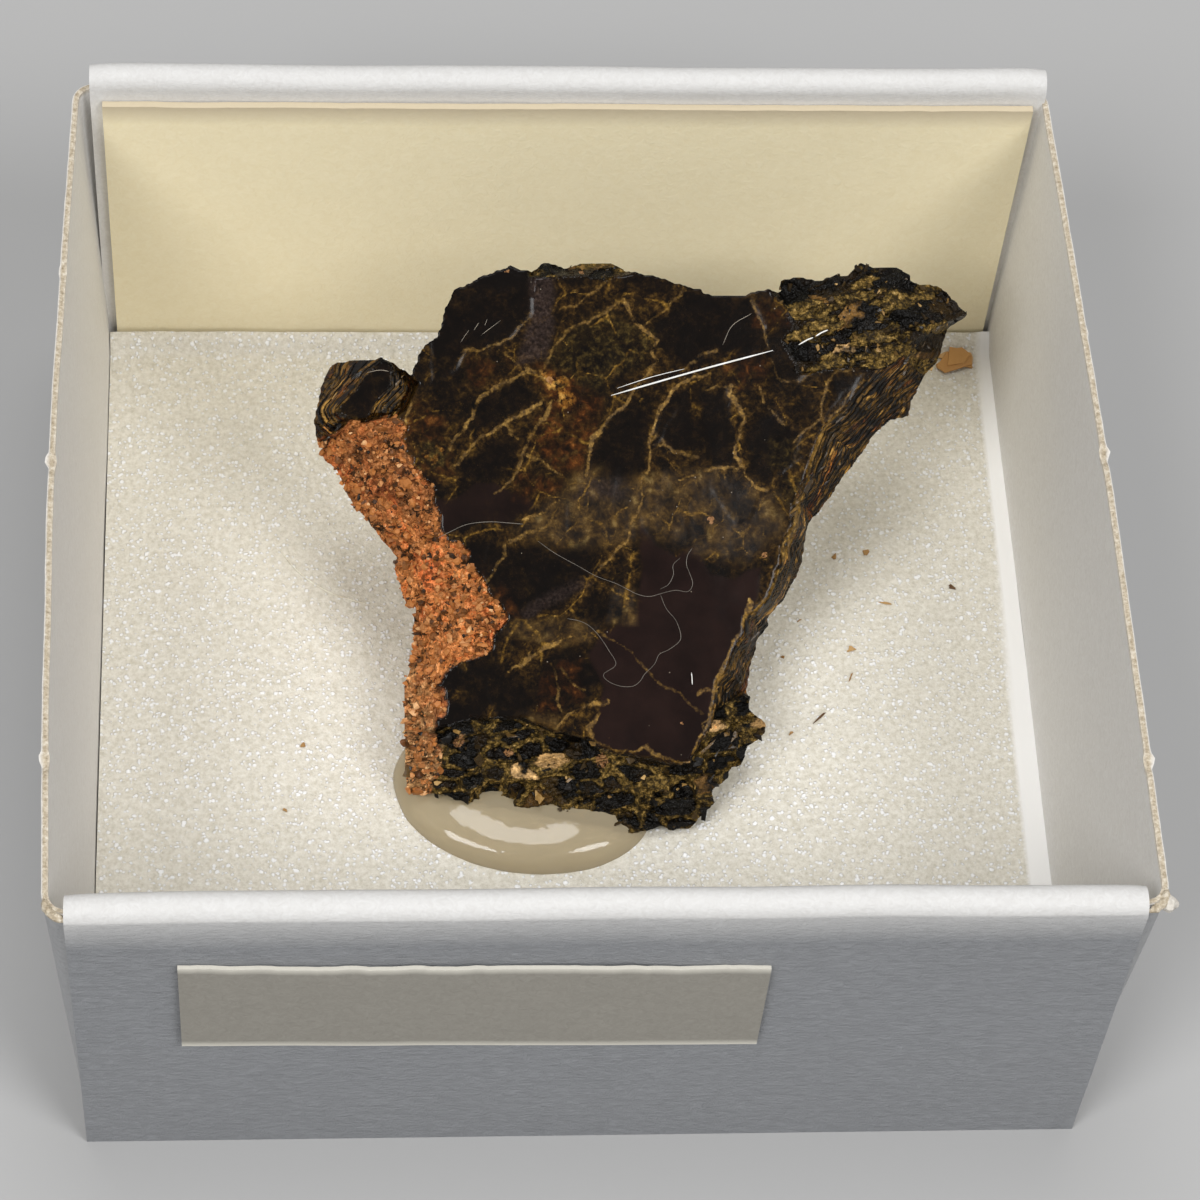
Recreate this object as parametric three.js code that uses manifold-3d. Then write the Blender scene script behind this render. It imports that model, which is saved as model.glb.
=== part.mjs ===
// A mica specimen in its card tray: a folded 40 mm card tray, a foam pad in its bottom, a name card
// standing against the back wall, a number label on the front wall, and a broken book of dark mica that
// leans back on its foot in a blob of clear glue.
// Millimetres, +Z up. The origin is the centre of the tray's underside. +Y is the back of the tray.
import * as THREE from 'three';
import { mergeVertices } from 'three/addons/utils/BufferGeometryUtils.js';
import Module from 'manifold-3d';

// ---------------------------------------------------------------- driving dimensions
const TRAY = 40; // width and depth of the tray at its base
const FRONT_HEIGHT = 19; // to the top of the rolled front wall
const BACK_HEIGHT = 19.6; // the rolled back wall stands a little higher
const SIDE_HEIGHT = 18.4; // the single side walls stop a little lower
const CARD = 0.4; // thickness of the tray's card
const ROLLED_WALL = 1.3; // the front and back walls are folded double over the side tabs
const TAB_INSET = 0.35; // the side tabs sit this far inside the rolled walls' outer face
const TAB_REACH = 2; // how far a side wall runs into a rolled wall
const CORNER_RADIUS = 1; // outer radius of the bend at the tray's upright corners
const SPRING = { // how far each side wall springs outwards at its rim: at its ends and extra at its middle
  left: { front: 0.85, back: 0.7, middle: 0.4 },
  right: { front: 0.95, back: 0.15, middle: 0.2 },
};

const PAD = { left: -19.3, rightBack: 19.2, rightFront: 18.7, front: -18.6, back: 18.25, top: 2.3 };
const SKIN = 0.05; // clearance between flat pieces that lie on each other
const CUT_GAP = 0.3; // clearance where one piece is cut to another's shape
const MERGE_DISTANCE = 1e-5; // corners closer than this are one corner

const NAME_CARD = { width: 39, height: 16.6, thickness: 0.3, foot: 1.4 };
const LABEL = { left: -15.9, width: 22.1, bottom: 8.7, height: 6.3, thickness: 0.16, turn: -1.1 };

// The mica's cleavage face leans back from upright. It is described in face axes: a to the right, b up the
// slope and c out of the face. FACE_ORIGIN is where a = b = c = 0.
const FACE_TILT = 32; // degrees between the face and the pad
const FACE_ORIGIN = new THREE.Vector3(0, -7.45, 4.56);

const GLUE = {
  x: -2, y: -5.2, halfWidth: 5.6, halfDepth: 4, height: 1.5, turn: -9, // turn in degrees
  rings: 6, segments: 32, // how finely the dome is faceted
};
const FLAKE = { x: 18.1, y: 16.9, size: 0.75, thickness: 0.3, turn: 20 };

// ---------------------------------------------------------------- the mica book's layers, in face axes
// Outline of the whole book, clockwise from its upper left corner.
const BOOK = [
  [-5.2, 21.3], [-2.9, 22.6], [-1.8, 22.4], [-1.2, 22.8], [0.8, 22.9], [1.9, 22.8], [2.8, 22.3], [5.3, 21.7],
  [5.8, 21.4], [7.4, 21.4], [8.7, 21.7], [8.7, 22.1], [10.2, 22.2], [12.3, 22.9], [14.2, 22.5], [14.6, 22],
  [15.5, 22], [16.5, 20.5], [15.9, 19.8], [15.7, 18.9], [14.7, 18.1], [14.2, 16.5], [13, 16], [12.1, 14.5],
  [9.8, 11.6], [9.6, 10.3], [9, 8.9], [7.5, 6.4], [7.2, 4.7], [8, 3.5], [7.9, 3], [7.2, 2.4], [6.5, 0.9],
  [5.8, 0.4], [4.9, -1.1], [2.3, -1.1], [-0.8, -0.6], [-3.2, -0.2], [-5.2, 0.4], [-7, 0.6], [-7, 5.5],
  [-6.7, 7.9], [-7.2, 8.8], [-7.4, 10], [-9, 12.5], [-10.2, 14.2], [-10.7, 15.7], [-10.6, 17.3], [-10.2, 18.4],
  [-9.2, 18.8], [-8, 18.8], [-6.9, 18.1], [-6.6, 18.1], [-6.5, 19.1], [-5.7, 19.3],
];
// The plates above it stop short of the frayed right edge, the rock on the left and the broken foot.
const MIDDLE_PLATES = [
  [-5.2, 21.3], [-2.9, 22.6], [0, 22.4], [2.8, 22.3], [5.8, 21.4], [10.2, 22], [13.6, 22], [15.6, 20.3],
  [13.6, 17.6], [11.4, 15.2], [9, 11.8], [8.6, 9.2], [7, 6.2], [6.6, 3], [5.6, 1.2], [-0.8, 0.6], [-6.4, 1.6],
  [-6.1, 7.9], [-6.6, 10], [-8.9, 13.4], [-9.9, 15.9], [-9.7, 18], [-7.6, 18.2], [-6.2, 17.6],
];
const FACE_PLATES = [
  [-5.2, 21.2], [-2.9, 22.4], [0, 21.8], [2.8, 22.1], [5.8, 21.3], [8.6, 21], [10.8, 19.8], [11.6, 17.4],
  [9.8, 14.4], [8.3, 11.7], [7.8, 9], [6.5, 6], [5.3, 3.2], [4.4, 2.3], [2.8, 2.3], [-3, 2.9], [-5, 4.2],
  [-5.2, 6], [-3.6, 8.6], [-4.8, 11], [-5.9, 13], [-6, 17.5],
];
// Plates stacked behind the book, down to the foot that stands on the pad.
const BACK_PLATES = [
  [-5.8, 0], [-2, -1.4], [4.4, -1.6], [6.4, 2.4], [7.4, 7.4], [9, 11.6], [11.6, 15.6], [11, 19.4], [6, 20.4],
  [-1, 21.2], [-4.2, 19], [-8.4, 16.6], [-6.2, 10.4], [-5.8, 5],
];
const HEEL_PLATES = [
  [-4.8, 0.6], [-1, -1.2], [4, -1], [6, 4], [7, 9], [7.6, 14], [3, 16.4], [-3, 15.2], [-5.2, 9],
];
const BOOK_TOP = -1.6; // where the whole book's layer ends and the plates above it start
const LAYERS = [ // outline, lowest c and highest c
  [FACE_PLATES, -0.8, 0],
  [MIDDLE_PLATES, -1.7, -0.7],
  [BOOK, -2.4, BOOK_TOP],
  [BACK_PLATES, -3.5, -2.3],
  [HEEL_PLATES, -4.4, -3.4],
];

// ---------------------------------------------------------------- helpers
const wasm = await Module();
wasm.setup();

function toSolid(geometry) {
  const plain = geometry.clone();
  plain.deleteAttribute('normal');
  plain.deleteAttribute('uv');
  const merged = mergeVertices(plain, MERGE_DISTANCE);
  return new wasm.Manifold(new wasm.Mesh({
    numProp: 3,
    vertProperties: new Float32Array(merged.attributes.position.array),
    triVerts: new Uint32Array(merged.index.array),
  }));
}

function toGeometry(solid) {
  const mesh = solid.getMesh();
  const geometry = new THREE.BufferGeometry();
  geometry.setAttribute('position', new THREE.BufferAttribute(new Float32Array(mesh.vertProperties), 3));
  geometry.setIndex(new THREE.BufferAttribute(new Uint32Array(mesh.triVerts), 1));
  geometry.computeVertexNormals();
  return geometry;
}

function box(x0, x1, y0, y1, z0, z1) {
  const geometry = new THREE.BoxGeometry(x1 - x0, y1 - y0, z1 - z0);
  return geometry.translate((x0 + x1) / 2, (y0 + y1) / 2, (z0 + z1) / 2);
}

function outlineShape(points) {
  return new THREE.Shape(points.map(([x, y]) => new THREE.Vector2(x, y)));
}

function slab(points, low, high) {
  const outline = outlineShape(points);
  const geometry = new THREE.ExtrudeGeometry(outline, { depth: high - low, bevelEnabled: false });
  return geometry.translate(0, 0, low);
}

function material(name, color, roughness) {
  return new THREE.MeshStandardMaterial({ name, color, roughness, metalness: 0 });
}

function part(name, geometry, finish) {
  const mesh = new THREE.Mesh(geometry, finish);
  mesh.name = name;
  return mesh;
}

// ---------------------------------------------------------------- card tray
// A wall folded double: its profile, in Y and Z, has a round top where the card rolls over.
function rolledWall(side, height) {
  const outer = TRAY / 2;
  const radius = ROLLED_WALL / 2;
  const profile = new THREE.Shape();
  profile.moveTo(outer, 0);
  profile.lineTo(outer, height - radius);
  profile.absarc(outer - radius, height - radius, radius, 0, Math.PI, false);
  profile.lineTo(outer - ROLLED_WALL, 0);
  profile.closePath();
  const geometry = new THREE.ExtrudeGeometry(profile, { depth: TRAY, bevelEnabled: false, curveSegments: 8 });
  geometry.translate(0, 0, -TRAY / 2);
  const profileToY = new THREE.Matrix4().makeBasis(
    new THREE.Vector3(0, 1, 0), new THREE.Vector3(0, 0, 1), new THREE.Vector3(1, 0, 0));
  geometry.applyMatrix4(profileToY);
  return side > 0 ? geometry : geometry.rotateZ(Math.PI);
}

// A single wall: a strip that bends round both corners into tabs, and springs outwards towards its rim.
function sideWall(side, spring) {
  const halfDepth = TRAY / 2 - TAB_INSET;
  const halfWidth = TRAY / 2;
  const inner = CORNER_RADIUS - CARD;
  const tabEnd = halfWidth - TAB_REACH;
  const strip = new THREE.Shape();
  strip.moveTo(tabEnd, -halfDepth);
  strip.absarc(halfWidth - CORNER_RADIUS, -halfDepth + CORNER_RADIUS, CORNER_RADIUS, -Math.PI / 2, 0, false);
  for (const t of [0.25, 0.5, 0.75]) {
    strip.lineTo(halfWidth, THREE.MathUtils.lerp(-halfDepth, halfDepth, t));
  }
  strip.absarc(halfWidth - CORNER_RADIUS, halfDepth - CORNER_RADIUS, CORNER_RADIUS, 0, Math.PI / 2, false);
  strip.lineTo(tabEnd, halfDepth);
  strip.lineTo(tabEnd, halfDepth - CARD);
  strip.absarc(halfWidth - CORNER_RADIUS, halfDepth - CORNER_RADIUS, inner, Math.PI / 2, 0, true);
  for (const t of [0.75, 0.5, 0.25]) {
    strip.lineTo(halfWidth - CARD, THREE.MathUtils.lerp(-halfDepth, halfDepth, t));
  }
  strip.absarc(halfWidth - CORNER_RADIUS, -halfDepth + CORNER_RADIUS, inner, 0, -Math.PI / 2, true);
  strip.lineTo(tabEnd, -halfDepth + CARD);
  strip.closePath();
  const geometry = new THREE.ExtrudeGeometry(strip, {
    depth: SIDE_HEIGHT, steps: 3, bevelEnabled: false, curveSegments: 5,
  });
  const place = geometry.attributes.position;
  for (let i = 0; i < place.count; i += 1) {
    const along = THREE.MathUtils.clamp(place.getY(i) / TRAY + 0.5, 0, 1);
    const bow = spring.middle * Math.sin(along * Math.PI);
    const outwards = THREE.MathUtils.lerp(spring.front, spring.back, along) + bow;
    const reach = THREE.MathUtils.smoothstep(place.getX(i), tabEnd, halfWidth - CARD);
    place.setX(i, place.getX(i) + outwards * reach * (place.getZ(i) / SIDE_HEIGHT));
  }
  return side > 0 ? geometry : mirrored(geometry);
}

// Mirrors a geometry across the YZ plane. That turns it inside out, so each triangle is wound the other
// way too.
function mirrored(geometry) {
  geometry.scale(-1, 1, 1);
  const place = geometry.attributes.position;
  for (let i = 0; i < place.count; i += 3) {
    const second = [place.getX(i + 1), place.getY(i + 1), place.getZ(i + 1)];
    place.setXYZ(i + 1, place.getX(i + 2), place.getY(i + 2), place.getZ(i + 2));
    place.setXYZ(i + 2, ...second);
  }
  return geometry;
}

function cardTray() {
  const half = TRAY / 2;
  const floor = box(-half + CARD / 2, half - CARD / 2, -half + CARD, half - CARD, 0, CARD);
  const solid = toSolid(floor)
    .add(toSolid(rolledWall(1, BACK_HEIGHT)))
    .add(toSolid(rolledWall(-1, FRONT_HEIGHT)))
    .add(toSolid(sideWall(1, SPRING.right)))
    .add(toSolid(sideWall(-1, SPRING.left)));
  return part('card_tray', toGeometry(solid), material('white card', 0xe9e6e4, 0.75));
}

// ---------------------------------------------------------------- pad, card and label
function foamPad() {
  const corners = [
    [PAD.left, PAD.front], [PAD.rightFront, PAD.front], [PAD.rightBack, PAD.back], [PAD.left, PAD.back],
  ];
  const geometry = slab(corners, CARD + SKIN, PAD.top);
  return part('foam_pad', geometry, material('glitter foam', 0xe4e1d6, 0.6));
}

function nameCard() {
  const back = TRAY / 2 - ROLLED_WALL - SKIN;
  const geometry = box(
    -NAME_CARD.width / 2, NAME_CARD.width / 2,
    back - NAME_CARD.thickness, back,
    NAME_CARD.foot, NAME_CARD.foot + NAME_CARD.height);
  return part('name_card', geometry, material('cream card', 0xe0d2ad, 0.7));
}

function numberLabel() {
  const geometry = new THREE.BoxGeometry(LABEL.width, LABEL.thickness, LABEL.height);
  const mesh = part('number_label', geometry, material('label paper', 0xb9b5a8, 0.8));
  mesh.position.set(
    LABEL.left + LABEL.width / 2, -TRAY / 2 - SKIN - LABEL.thickness / 2, LABEL.bottom + LABEL.height / 2);
  mesh.rotation.y = THREE.MathUtils.degToRad(-LABEL.turn);
  return mesh;
}

// ---------------------------------------------------------------- mica and glue
function faceToTray() {
  const tilt = THREE.MathUtils.degToRad(FACE_TILT);
  return new THREE.Matrix4()
    .makeRotationX(tilt)
    .setPosition(FACE_ORIGIN);
}

function micaBook() {
  const stack = LAYERS.map(([outline, low, high]) => {
    const layer = slab(outline, low, high);
    return toSolid(layer.applyMatrix4(faceToTray()));
  });
  const whole = stack.reduce((book, layer) => book.add(layer));
  const below = box(-TRAY, TRAY, -TRAY, TRAY, -TRAY, PAD.top + SKIN);
  return whole.subtract(toSolid(below));
}

// A shallow dome of glue under and in front of the book's foot, hollowed where the book stands in it.
function glueFoot() {
  const rise = [];
  for (let i = 0; i < GLUE.rings; i += 1) {
    const climb = (i / GLUE.rings) * (Math.PI / 2);
    rise.push(new THREE.Vector2(Math.cos(climb), Math.sin(climb)));
  }
  const foot = new THREE.Vector2(0, 0);
  const crown = new THREE.Vector2(0, 1);
  const dome = new THREE.LatheGeometry([foot, ...rise, crown], GLUE.segments);
  dome.rotateX(Math.PI / 2);
  dome.scale(GLUE.halfWidth, GLUE.halfDepth, GLUE.height);
  dome.rotateZ(THREE.MathUtils.degToRad(GLUE.turn));
  dome.translate(GLUE.x, GLUE.y, PAD.top + SKIN);
  const hollow = LAYERS.map(([outline, low, high]) => {
    const grown = slab(outline, low - CUT_GAP, high + CUT_GAP);
    return toSolid(grown.translate(0, -CUT_GAP, 0).applyMatrix4(faceToTray()));
  });
  const aboveBook = slab(BOOK, BOOK_TOP, BOOK_TOP + GLUE.halfWidth).translate(0, -CUT_GAP, 0);
  const above = toSolid(aboveBook.applyMatrix4(faceToTray()));
  return hollow.reduce((glue, layer) => glue.subtract(layer), toSolid(dome)).subtract(above);
}

function looseFlake() {
  const chip = [[-1, -0.5], [0.2, -1], [1, -0.2], [0.7, 0.8], [-0.6, 0.9]].map(([x, y]) => [
    x * FLAKE.size,
    y * FLAKE.size,
  ]);
  const mesh = part('loose_flake', slab(chip, 0, FLAKE.thickness), material('tan flake', 0xc79a5b, 0.5));
  mesh.position.set(FLAKE.x, FLAKE.y, PAD.top + SKIN);
  mesh.rotation.z = THREE.MathUtils.degToRad(FLAKE.turn);
  return mesh;
}

// ---------------------------------------------------------------- the specimen
const specimen = new THREE.Group();
specimen.add(cardTray());
specimen.add(foamPad());
specimen.add(nameCard());
specimen.add(numberLabel());
specimen.add(part('mica_crystal', toGeometry(micaBook()), material('dark mica', 0x1d1410, 0.25)));
specimen.add(part('glue_foot', toGeometry(glueFoot()), material('clear glue', 0xe6dcc8, 0.1)));
specimen.add(looseFlake());

export default specimen;
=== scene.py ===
"""Looks of the mica specimen: a broken book of dark mica glued in a glitter-lined card tray.

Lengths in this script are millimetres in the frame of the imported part, and become metres when a mesh is made.
The mica is described in face axes: a to the right, b up the slope of the cleavage face and c out of it.
"""

import math
from functools import reduce

import bpy
import numpy as np
from mathutils import Matrix, Vector
from mathutils.geometry import delaunay_2d_cdt


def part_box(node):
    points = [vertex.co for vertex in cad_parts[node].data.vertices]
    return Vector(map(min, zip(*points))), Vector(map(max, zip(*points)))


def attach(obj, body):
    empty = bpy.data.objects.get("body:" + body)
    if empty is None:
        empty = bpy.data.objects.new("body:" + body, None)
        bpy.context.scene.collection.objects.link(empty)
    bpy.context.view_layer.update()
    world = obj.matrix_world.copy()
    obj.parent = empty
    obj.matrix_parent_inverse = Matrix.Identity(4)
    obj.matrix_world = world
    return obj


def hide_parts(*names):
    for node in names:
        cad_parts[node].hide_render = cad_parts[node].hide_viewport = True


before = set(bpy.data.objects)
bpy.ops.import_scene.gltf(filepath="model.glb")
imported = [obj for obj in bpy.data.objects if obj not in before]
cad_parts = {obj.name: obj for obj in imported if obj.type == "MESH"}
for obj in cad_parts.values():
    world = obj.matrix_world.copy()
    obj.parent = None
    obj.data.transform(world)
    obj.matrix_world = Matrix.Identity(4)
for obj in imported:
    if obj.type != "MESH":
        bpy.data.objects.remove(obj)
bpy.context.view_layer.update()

MM = 0.001


def cad_box(node):
    """Lowest and highest corner of a CAD node, in millimetres."""
    low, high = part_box(node)
    return np.array(low) / MM, np.array(high) / MM


_, TRAY_HIGH = cad_box("card_tray")
PAD_LOW, PAD_HIGH = cad_box("foam_pad")
CARD_LOW, CARD_HIGH = cad_box("name_card")
LABEL_LOW, LABEL_HIGH = cad_box("number_label")
FLAKE_LOW, FLAKE_HIGH = cad_box("loose_flake")
PAD_TOP = PAD_HIGH[2]

# ---------------------------------------------------------------- noise


HASH_X, HASH_Y = 73856093, 19349663  # primes that scatter the places of a lattice over a table
TABLE_SIZE = 1 << 14


def lattice(table, ix, iy):
    return table[(ix * HASH_X ^ iy * HASH_Y) & (TABLE_SIZE - 1)]


def on_lattice(x, y, size):
    """Places in units of `size`, and the lattice point below each."""
    gx, gy = np.asarray(x, float) / size, np.asarray(y, float) / size
    return gx, gy, np.floor(gx).astype(np.int64), np.floor(gy).astype(np.int64)


def smooth_noise(x, y, size, seed):
    """Value noise from -1 to 1, with features about `size` across."""
    table = np.random.default_rng(seed).random(TABLE_SIZE)
    gx, gy, ix, iy = on_lattice(x, y, size)
    fx, fy = gx - ix, gy - iy
    fx, fy = fx * fx * (3 - 2 * fx), fy * fy * (3 - 2 * fy)
    low = lattice(table, ix, iy) * (1 - fx) + lattice(table, ix + 1, iy) * fx
    high = lattice(table, ix, iy + 1) * (1 - fx) + lattice(table, ix + 1, iy + 1) * fx
    return 2 * (low * (1 - fy) + high * fy) - 1


def fractal(x, y, size, seed, octaves=4):
    """Noise of several sizes added up, from about -1 to 1."""
    total, weight, sizes = 0, 0, size
    for octave in range(octaves):
        share = 0.5**octave
        total = total + share * smooth_noise(x, y, sizes, seed + octave)
        weight += share
        sizes /= 2
    return total / weight


def cells(x, y, size, seed):
    """For each point: distances to the nearest and second nearest of scattered points, in units of `size`,
    and two random numbers from 0 to 1 that belong to the nearest one."""
    rng = np.random.default_rng(seed)
    tables = [rng.random(TABLE_SIZE) for _ in range(4)]
    gx, gy, ix, iy = on_lattice(x, y, size)
    near = np.full(gx.shape, 9.0)
    second = np.full(gx.shape, 9.0)
    value, other = np.zeros(gx.shape), np.zeros(gx.shape)
    for dx in (-1, 0, 1):
        for dy in (-1, 0, 1):
            cx, cy = ix + dx, iy + dy
            away = np.hypot(cx + lattice(tables[0], cx, cy) - gx, cy + lattice(tables[1], cx, cy) - gy)
            closer = away < near
            second = np.where(closer, near, np.minimum(second, away))
            value = np.where(closer, lattice(tables[2], cx, cy), value)
            other = np.where(closer, lattice(tables[3], cx, cy), other)
            near = np.minimum(near, away)
    return near, second, value, other


def ease(value, low, high):
    """Smooth step from 0 at low to 1 at high."""
    t = np.clip((value - low) / (high - low), 0, 1)
    return t * t * (3 - 2 * t)


# ---------------------------------------------------------------- outlines and distances


def line_distance(a, b, line, closed=False):
    """Distance from each point to a polyline, and how far along it the nearest point is."""
    line = np.array(line, float)
    ends = np.vstack([line, line[:1]]) if closed else line
    best, along, run = np.full(a.shape, 1e9), np.zeros(a.shape), 0.0
    for (x0, y0), (x1, y1) in zip(ends[:-1], ends[1:]):
        dx, dy = x1 - x0, y1 - y0
        length = math.hypot(dx, dy)
        t = np.clip(((a - x0) * dx + (b - y0) * dy) / max(length * length, 1e-12), 0, 1)
        away = np.hypot(a - x0 - t * dx, b - y0 - t * dy)
        along = np.where(away < best, run + t * length, along)
        best = np.minimum(best, away)
        run += length
    return best, along


def contains(a, b, outline):
    found = np.zeros(a.shape, bool)
    points = np.array(outline, float)
    for (x0, y0), (x1, y1) in zip(points, np.roll(points, -1, axis=0)):
        if y0 != y1:
            crosses = (y0 > b) != (y1 > b)
            found ^= crosses & (a < (x1 - x0) * (b - y0) / (y1 - y0) + x0)
    return found


def zone(a, b, outline, feather=0.3):
    """1 inside an outline and 0 outside it, with a soft edge `feather` wide."""
    away, _ = line_distance(a, b, outline, closed=True)
    depth = np.where(contains(a, b, outline), away, -away)
    return ease(depth, -feather / 2, feather / 2)


# ---------------------------------------------------------------- the mica in face axes

FACE_TILT = math.radians(32)
FACE_ORIGIN = np.array([0, -7.45, 4.56])
FACE_A = np.array([1.0, 0, 0])
FACE_B = np.array([0, math.cos(FACE_TILT), math.sin(FACE_TILT)])
FACE_C = np.array([0, -math.sin(FACE_TILT), math.cos(FACE_TILT)])

BOOK = [  # the whole outline, clockwise from the black block at the upper left
    (-5.75, 19.5), (-5.4, 20.7), (-5.0, 21.5), (-4, 22), (-2.75, 22.5), (-2.2, 22.3), (-1.85, 22.3),
    (-1.3, 22.7), (-0.3, 22.5), (0.3, 22.7), (1.6, 22.7), (2.15, 22.35), (3.1, 22.1), (4.4, 21.7),
    (5.25, 21.55), (5.35, 21.3), (7, 21.3), (7.6, 21.45), (8.65, 21.55), (8.5, 21.95), (9.5, 22.1),
    (10.2, 21.95), (10.8, 22.2), (11.4, 22.2), (12, 22.75), (12.8, 22.5), (13.5, 22.55), (14.1, 22.2),
    (14.05, 21.95), (14.5, 21.9), (15.4, 21.75), (15.9, 21.2), (16.5, 20.55), (16, 20.1), (15.75, 19.3),
    (15.4, 18.5), (14.8, 18), (14.25, 17), (14.15, 16.3), (13.4, 16.1), (13, 15.9), (12.4, 15.1),
    (11.5, 13.9), (10.9, 13.1), (9.9, 11.8), (9.7, 10.8), (9.65, 10.3), (9.2, 9.3), (8.8, 8.6), (8.1, 7.9),
    (8.2, 7.6), (7.7, 7), (7.4, 5.9), (7.25, 4.6), (7.3, 4.1), (7.9, 3.6), (7.95, 3.2), (7.7, 2.8),
    (7.2, 2.5), (6.9, 1.75), (6.5, 1.6), (6.4, 1.2), (5.7, 0.8), (5.8, 0.2), (5.2, -0.5), (4.8, -0.9),
    (4.2, -1), (3.6, -0.85), (2.3, -1.1), (0.2, -0.75), (-1.8, -0.35), (-3.6, 0), (-5.2, 0.45),
    (-6.3, 0.65), (-7, 0.6), (-7.15, 2), (-7.1, 5.4), (-6.8, 6.2), (-6.65, 8.4), (-6.95, 8.3),
    (-7.25, 9.1), (-7.5, 10.1), (-7.4, 10.5), (-8.4, 11.6), (-8.6, 12), (-9.1, 12.5), (-9.8, 13.9),
    (-10.3, 14.5), (-10.75, 15.4), (-10.8, 16.2), (-10.6, 17.4), (-10.1, 18.4), (-9.7, 18.6), (-8, 18.7),
    (-7.2, 18.3), (-6.75, 18), (-6.6, 18.7), (-6.3, 19.2),
]
ROCK = [  # the band of orange rock on the left, below the lobe
    (-11.5, 13), (-11.2, 15.2), (-10, 15.5), (-9.4, 16.0), (-8.5, 15.9), (-7.8, 16.2), (-7.3, 15.9),
    (-7, 14.9), (-6, 13.2), (-6.1, 12.5), (-5.9, 12.2), (-5.5, 11.1), (-4.8, 11), (-4.5, 10.6), (-4.9, 10.2),
    (-4.3, 9.9), (-3.6, 8.8), (-3.2, 8.5), (-3, 7.9), (-3.6, 7.2), (-3.5, 6.7), (-4.2, 6.3), (-5.2, 6),
    (-5.7, 5.2), (-5.5, 4.4), (-5.9, 3.4), (-5.6, 2.6), (-5.8, 1.6), (-5.9, 0.2), (-8, 0), (-8, 9),
]
FRAYED = [  # the edge-on sheets down the right side
    (13.8, 19.3), (12.4, 18), (11.9, 17.3), (11.1, 16.4), (10.3, 15.8), (10, 14.8), (9.5, 13.6), (9, 12.6),
    (9, 11.7), (8.6, 10.9), (8.5, 10), (7.8, 8.5), (7, 8), (6.9, 7.2), (6.4, 6.3), (6.2, 5.6), (5.8, 5.2),
    (5.5, 3.5), (4.9, 2.3),
]
BEYOND_FRAYED = [(4.9, 0.5), (12, 2), (20, 14), (20, 22)]  # closes the frayed side outside the book
FOOT = [  # the broken foot below the big plates
    (-8, 0), (-8, 3.1), (-5.6, 3.3), (-4.4, 3.7), (-2.3, 3.8), (-1.2, 3.3), (0.4, 2.9), (0.8, 2.45),
    (2.1, 2.2), (3.8, 1.85), (4.7, 2), (5.3, 3), (5.7, 4.1), (7, 4.8), (9, 4.6), (9, -2), (-8, -2),
]
WING = [
    (9.4, 18.2), (8.7, 19.4), (9.2, 20.2), (8.4, 21.4), (9, 23), (17, 23), (17, 19), (15, 18), (13.6, 18.8),
    (12.6, 18.2), (11.2, 18.4),
]
LOBE = [
    (-6.6, 17.6), (-7.1, 16.6), (-7.6, 16.2), (-9.5, 16), (-10.4, 15.3), (-11.5, 15.4), (-11, 19), (-8, 19),
]
LOBE_PLATE = [
    (-9.8, 16.5), (-9.2, 17.2), (-8.8, 17.9), (-8, 18.6), (-7.5, 18.3), (-7.5, 17.6), (-8.1, 17),
    (-8.6, 16.05), (-9.3, 16.05),
]
BLOCK = [
    (-5.9, 17.6), (-5.9, 19.5), (-5.4, 21), (-5, 22), (-2.8, 23), (-1.9, 22.6), (-1.8, 20.6), (-2.3, 19.9),
    (-2.7, 19.4), (-3.3, 19.1), (-4.4, 18.9), (-5.2, 18),
]
FOLD = [(-5.6, 20.3), (-4.6, 20.75), (-4, 20.95), (-3.2, 21.15), (-2.3, 21.25), (-1.7, 21.15)]
ABOVE_FOLD = [(-1.7, 24), (-6.5, 24)]
CREST = [(-1.9, 22.1), (-1.6, 23), (2, 23), (2.3, 22.2), (1.2, 21.95), (0.2, 22.1), (-0.8, 21.95)]
BROWN_PLATE = [  # the large smooth plate at the lower right
    (2.6, 12), (3.2, 11), (4.1, 10.5), (4.9, 11), (5.5, 9.7), (6.6, 9.5), (7.7, 10), (7.4, 8.6), (6.9, 7.4),
    (6.3, 6.2), (5.7, 5.2), (5.2, 3.1), (4.8, 2.1), (3.8, 2), (2.1, 2.35), (0.8, 2.6), (0.5, 3.5),
    (0.9, 4.1), (1.1, 5.2), (0.5, 6.4), (1.2, 7.4), (2.4, 8), (2.6, 9),
]
GREY_PLATE = [
    (-4.7, 10.9), (-3.5, 11.1), (-2.8, 10.8), (-1.4, 10.9), (0, 10.7), (0.9, 10), (0, 9.3), (-0.8, 8.6),
    (-1.9, 7.9), (-2.4, 7.9), (-3, 8.6), (-3.4, 9.2), (-4.2, 9.6), (-4.6, 10.2),
]
PURPLE_PLATE = [
    (-6, 12.7), (-5, 12.9), (-4.2, 13.4), (-3.3, 13.5), (-2.8, 13.1), (-2, 12.9), (-1.7, 12.5), (-3, 11.8),
    (-4.5, 11.9), (-5.6, 11.4), (-6, 12),
]
DARK_PLATE = [  # the smooth plate near the top, between two veins
    (3.3, 19.1), (3.1, 20.2), (3.9, 20.7), (4.7, 21.6), (5.4, 21.2), (7.2, 21.2), (7.9, 20), (8, 19),
    (5.6, 18.8), (4.6, 18.4),
]
EYE_PLATE = [(11.4, 19.6), (12, 20.3), (13.2, 20.3), (13.8, 19.7), (12.6, 19.1)]
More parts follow.
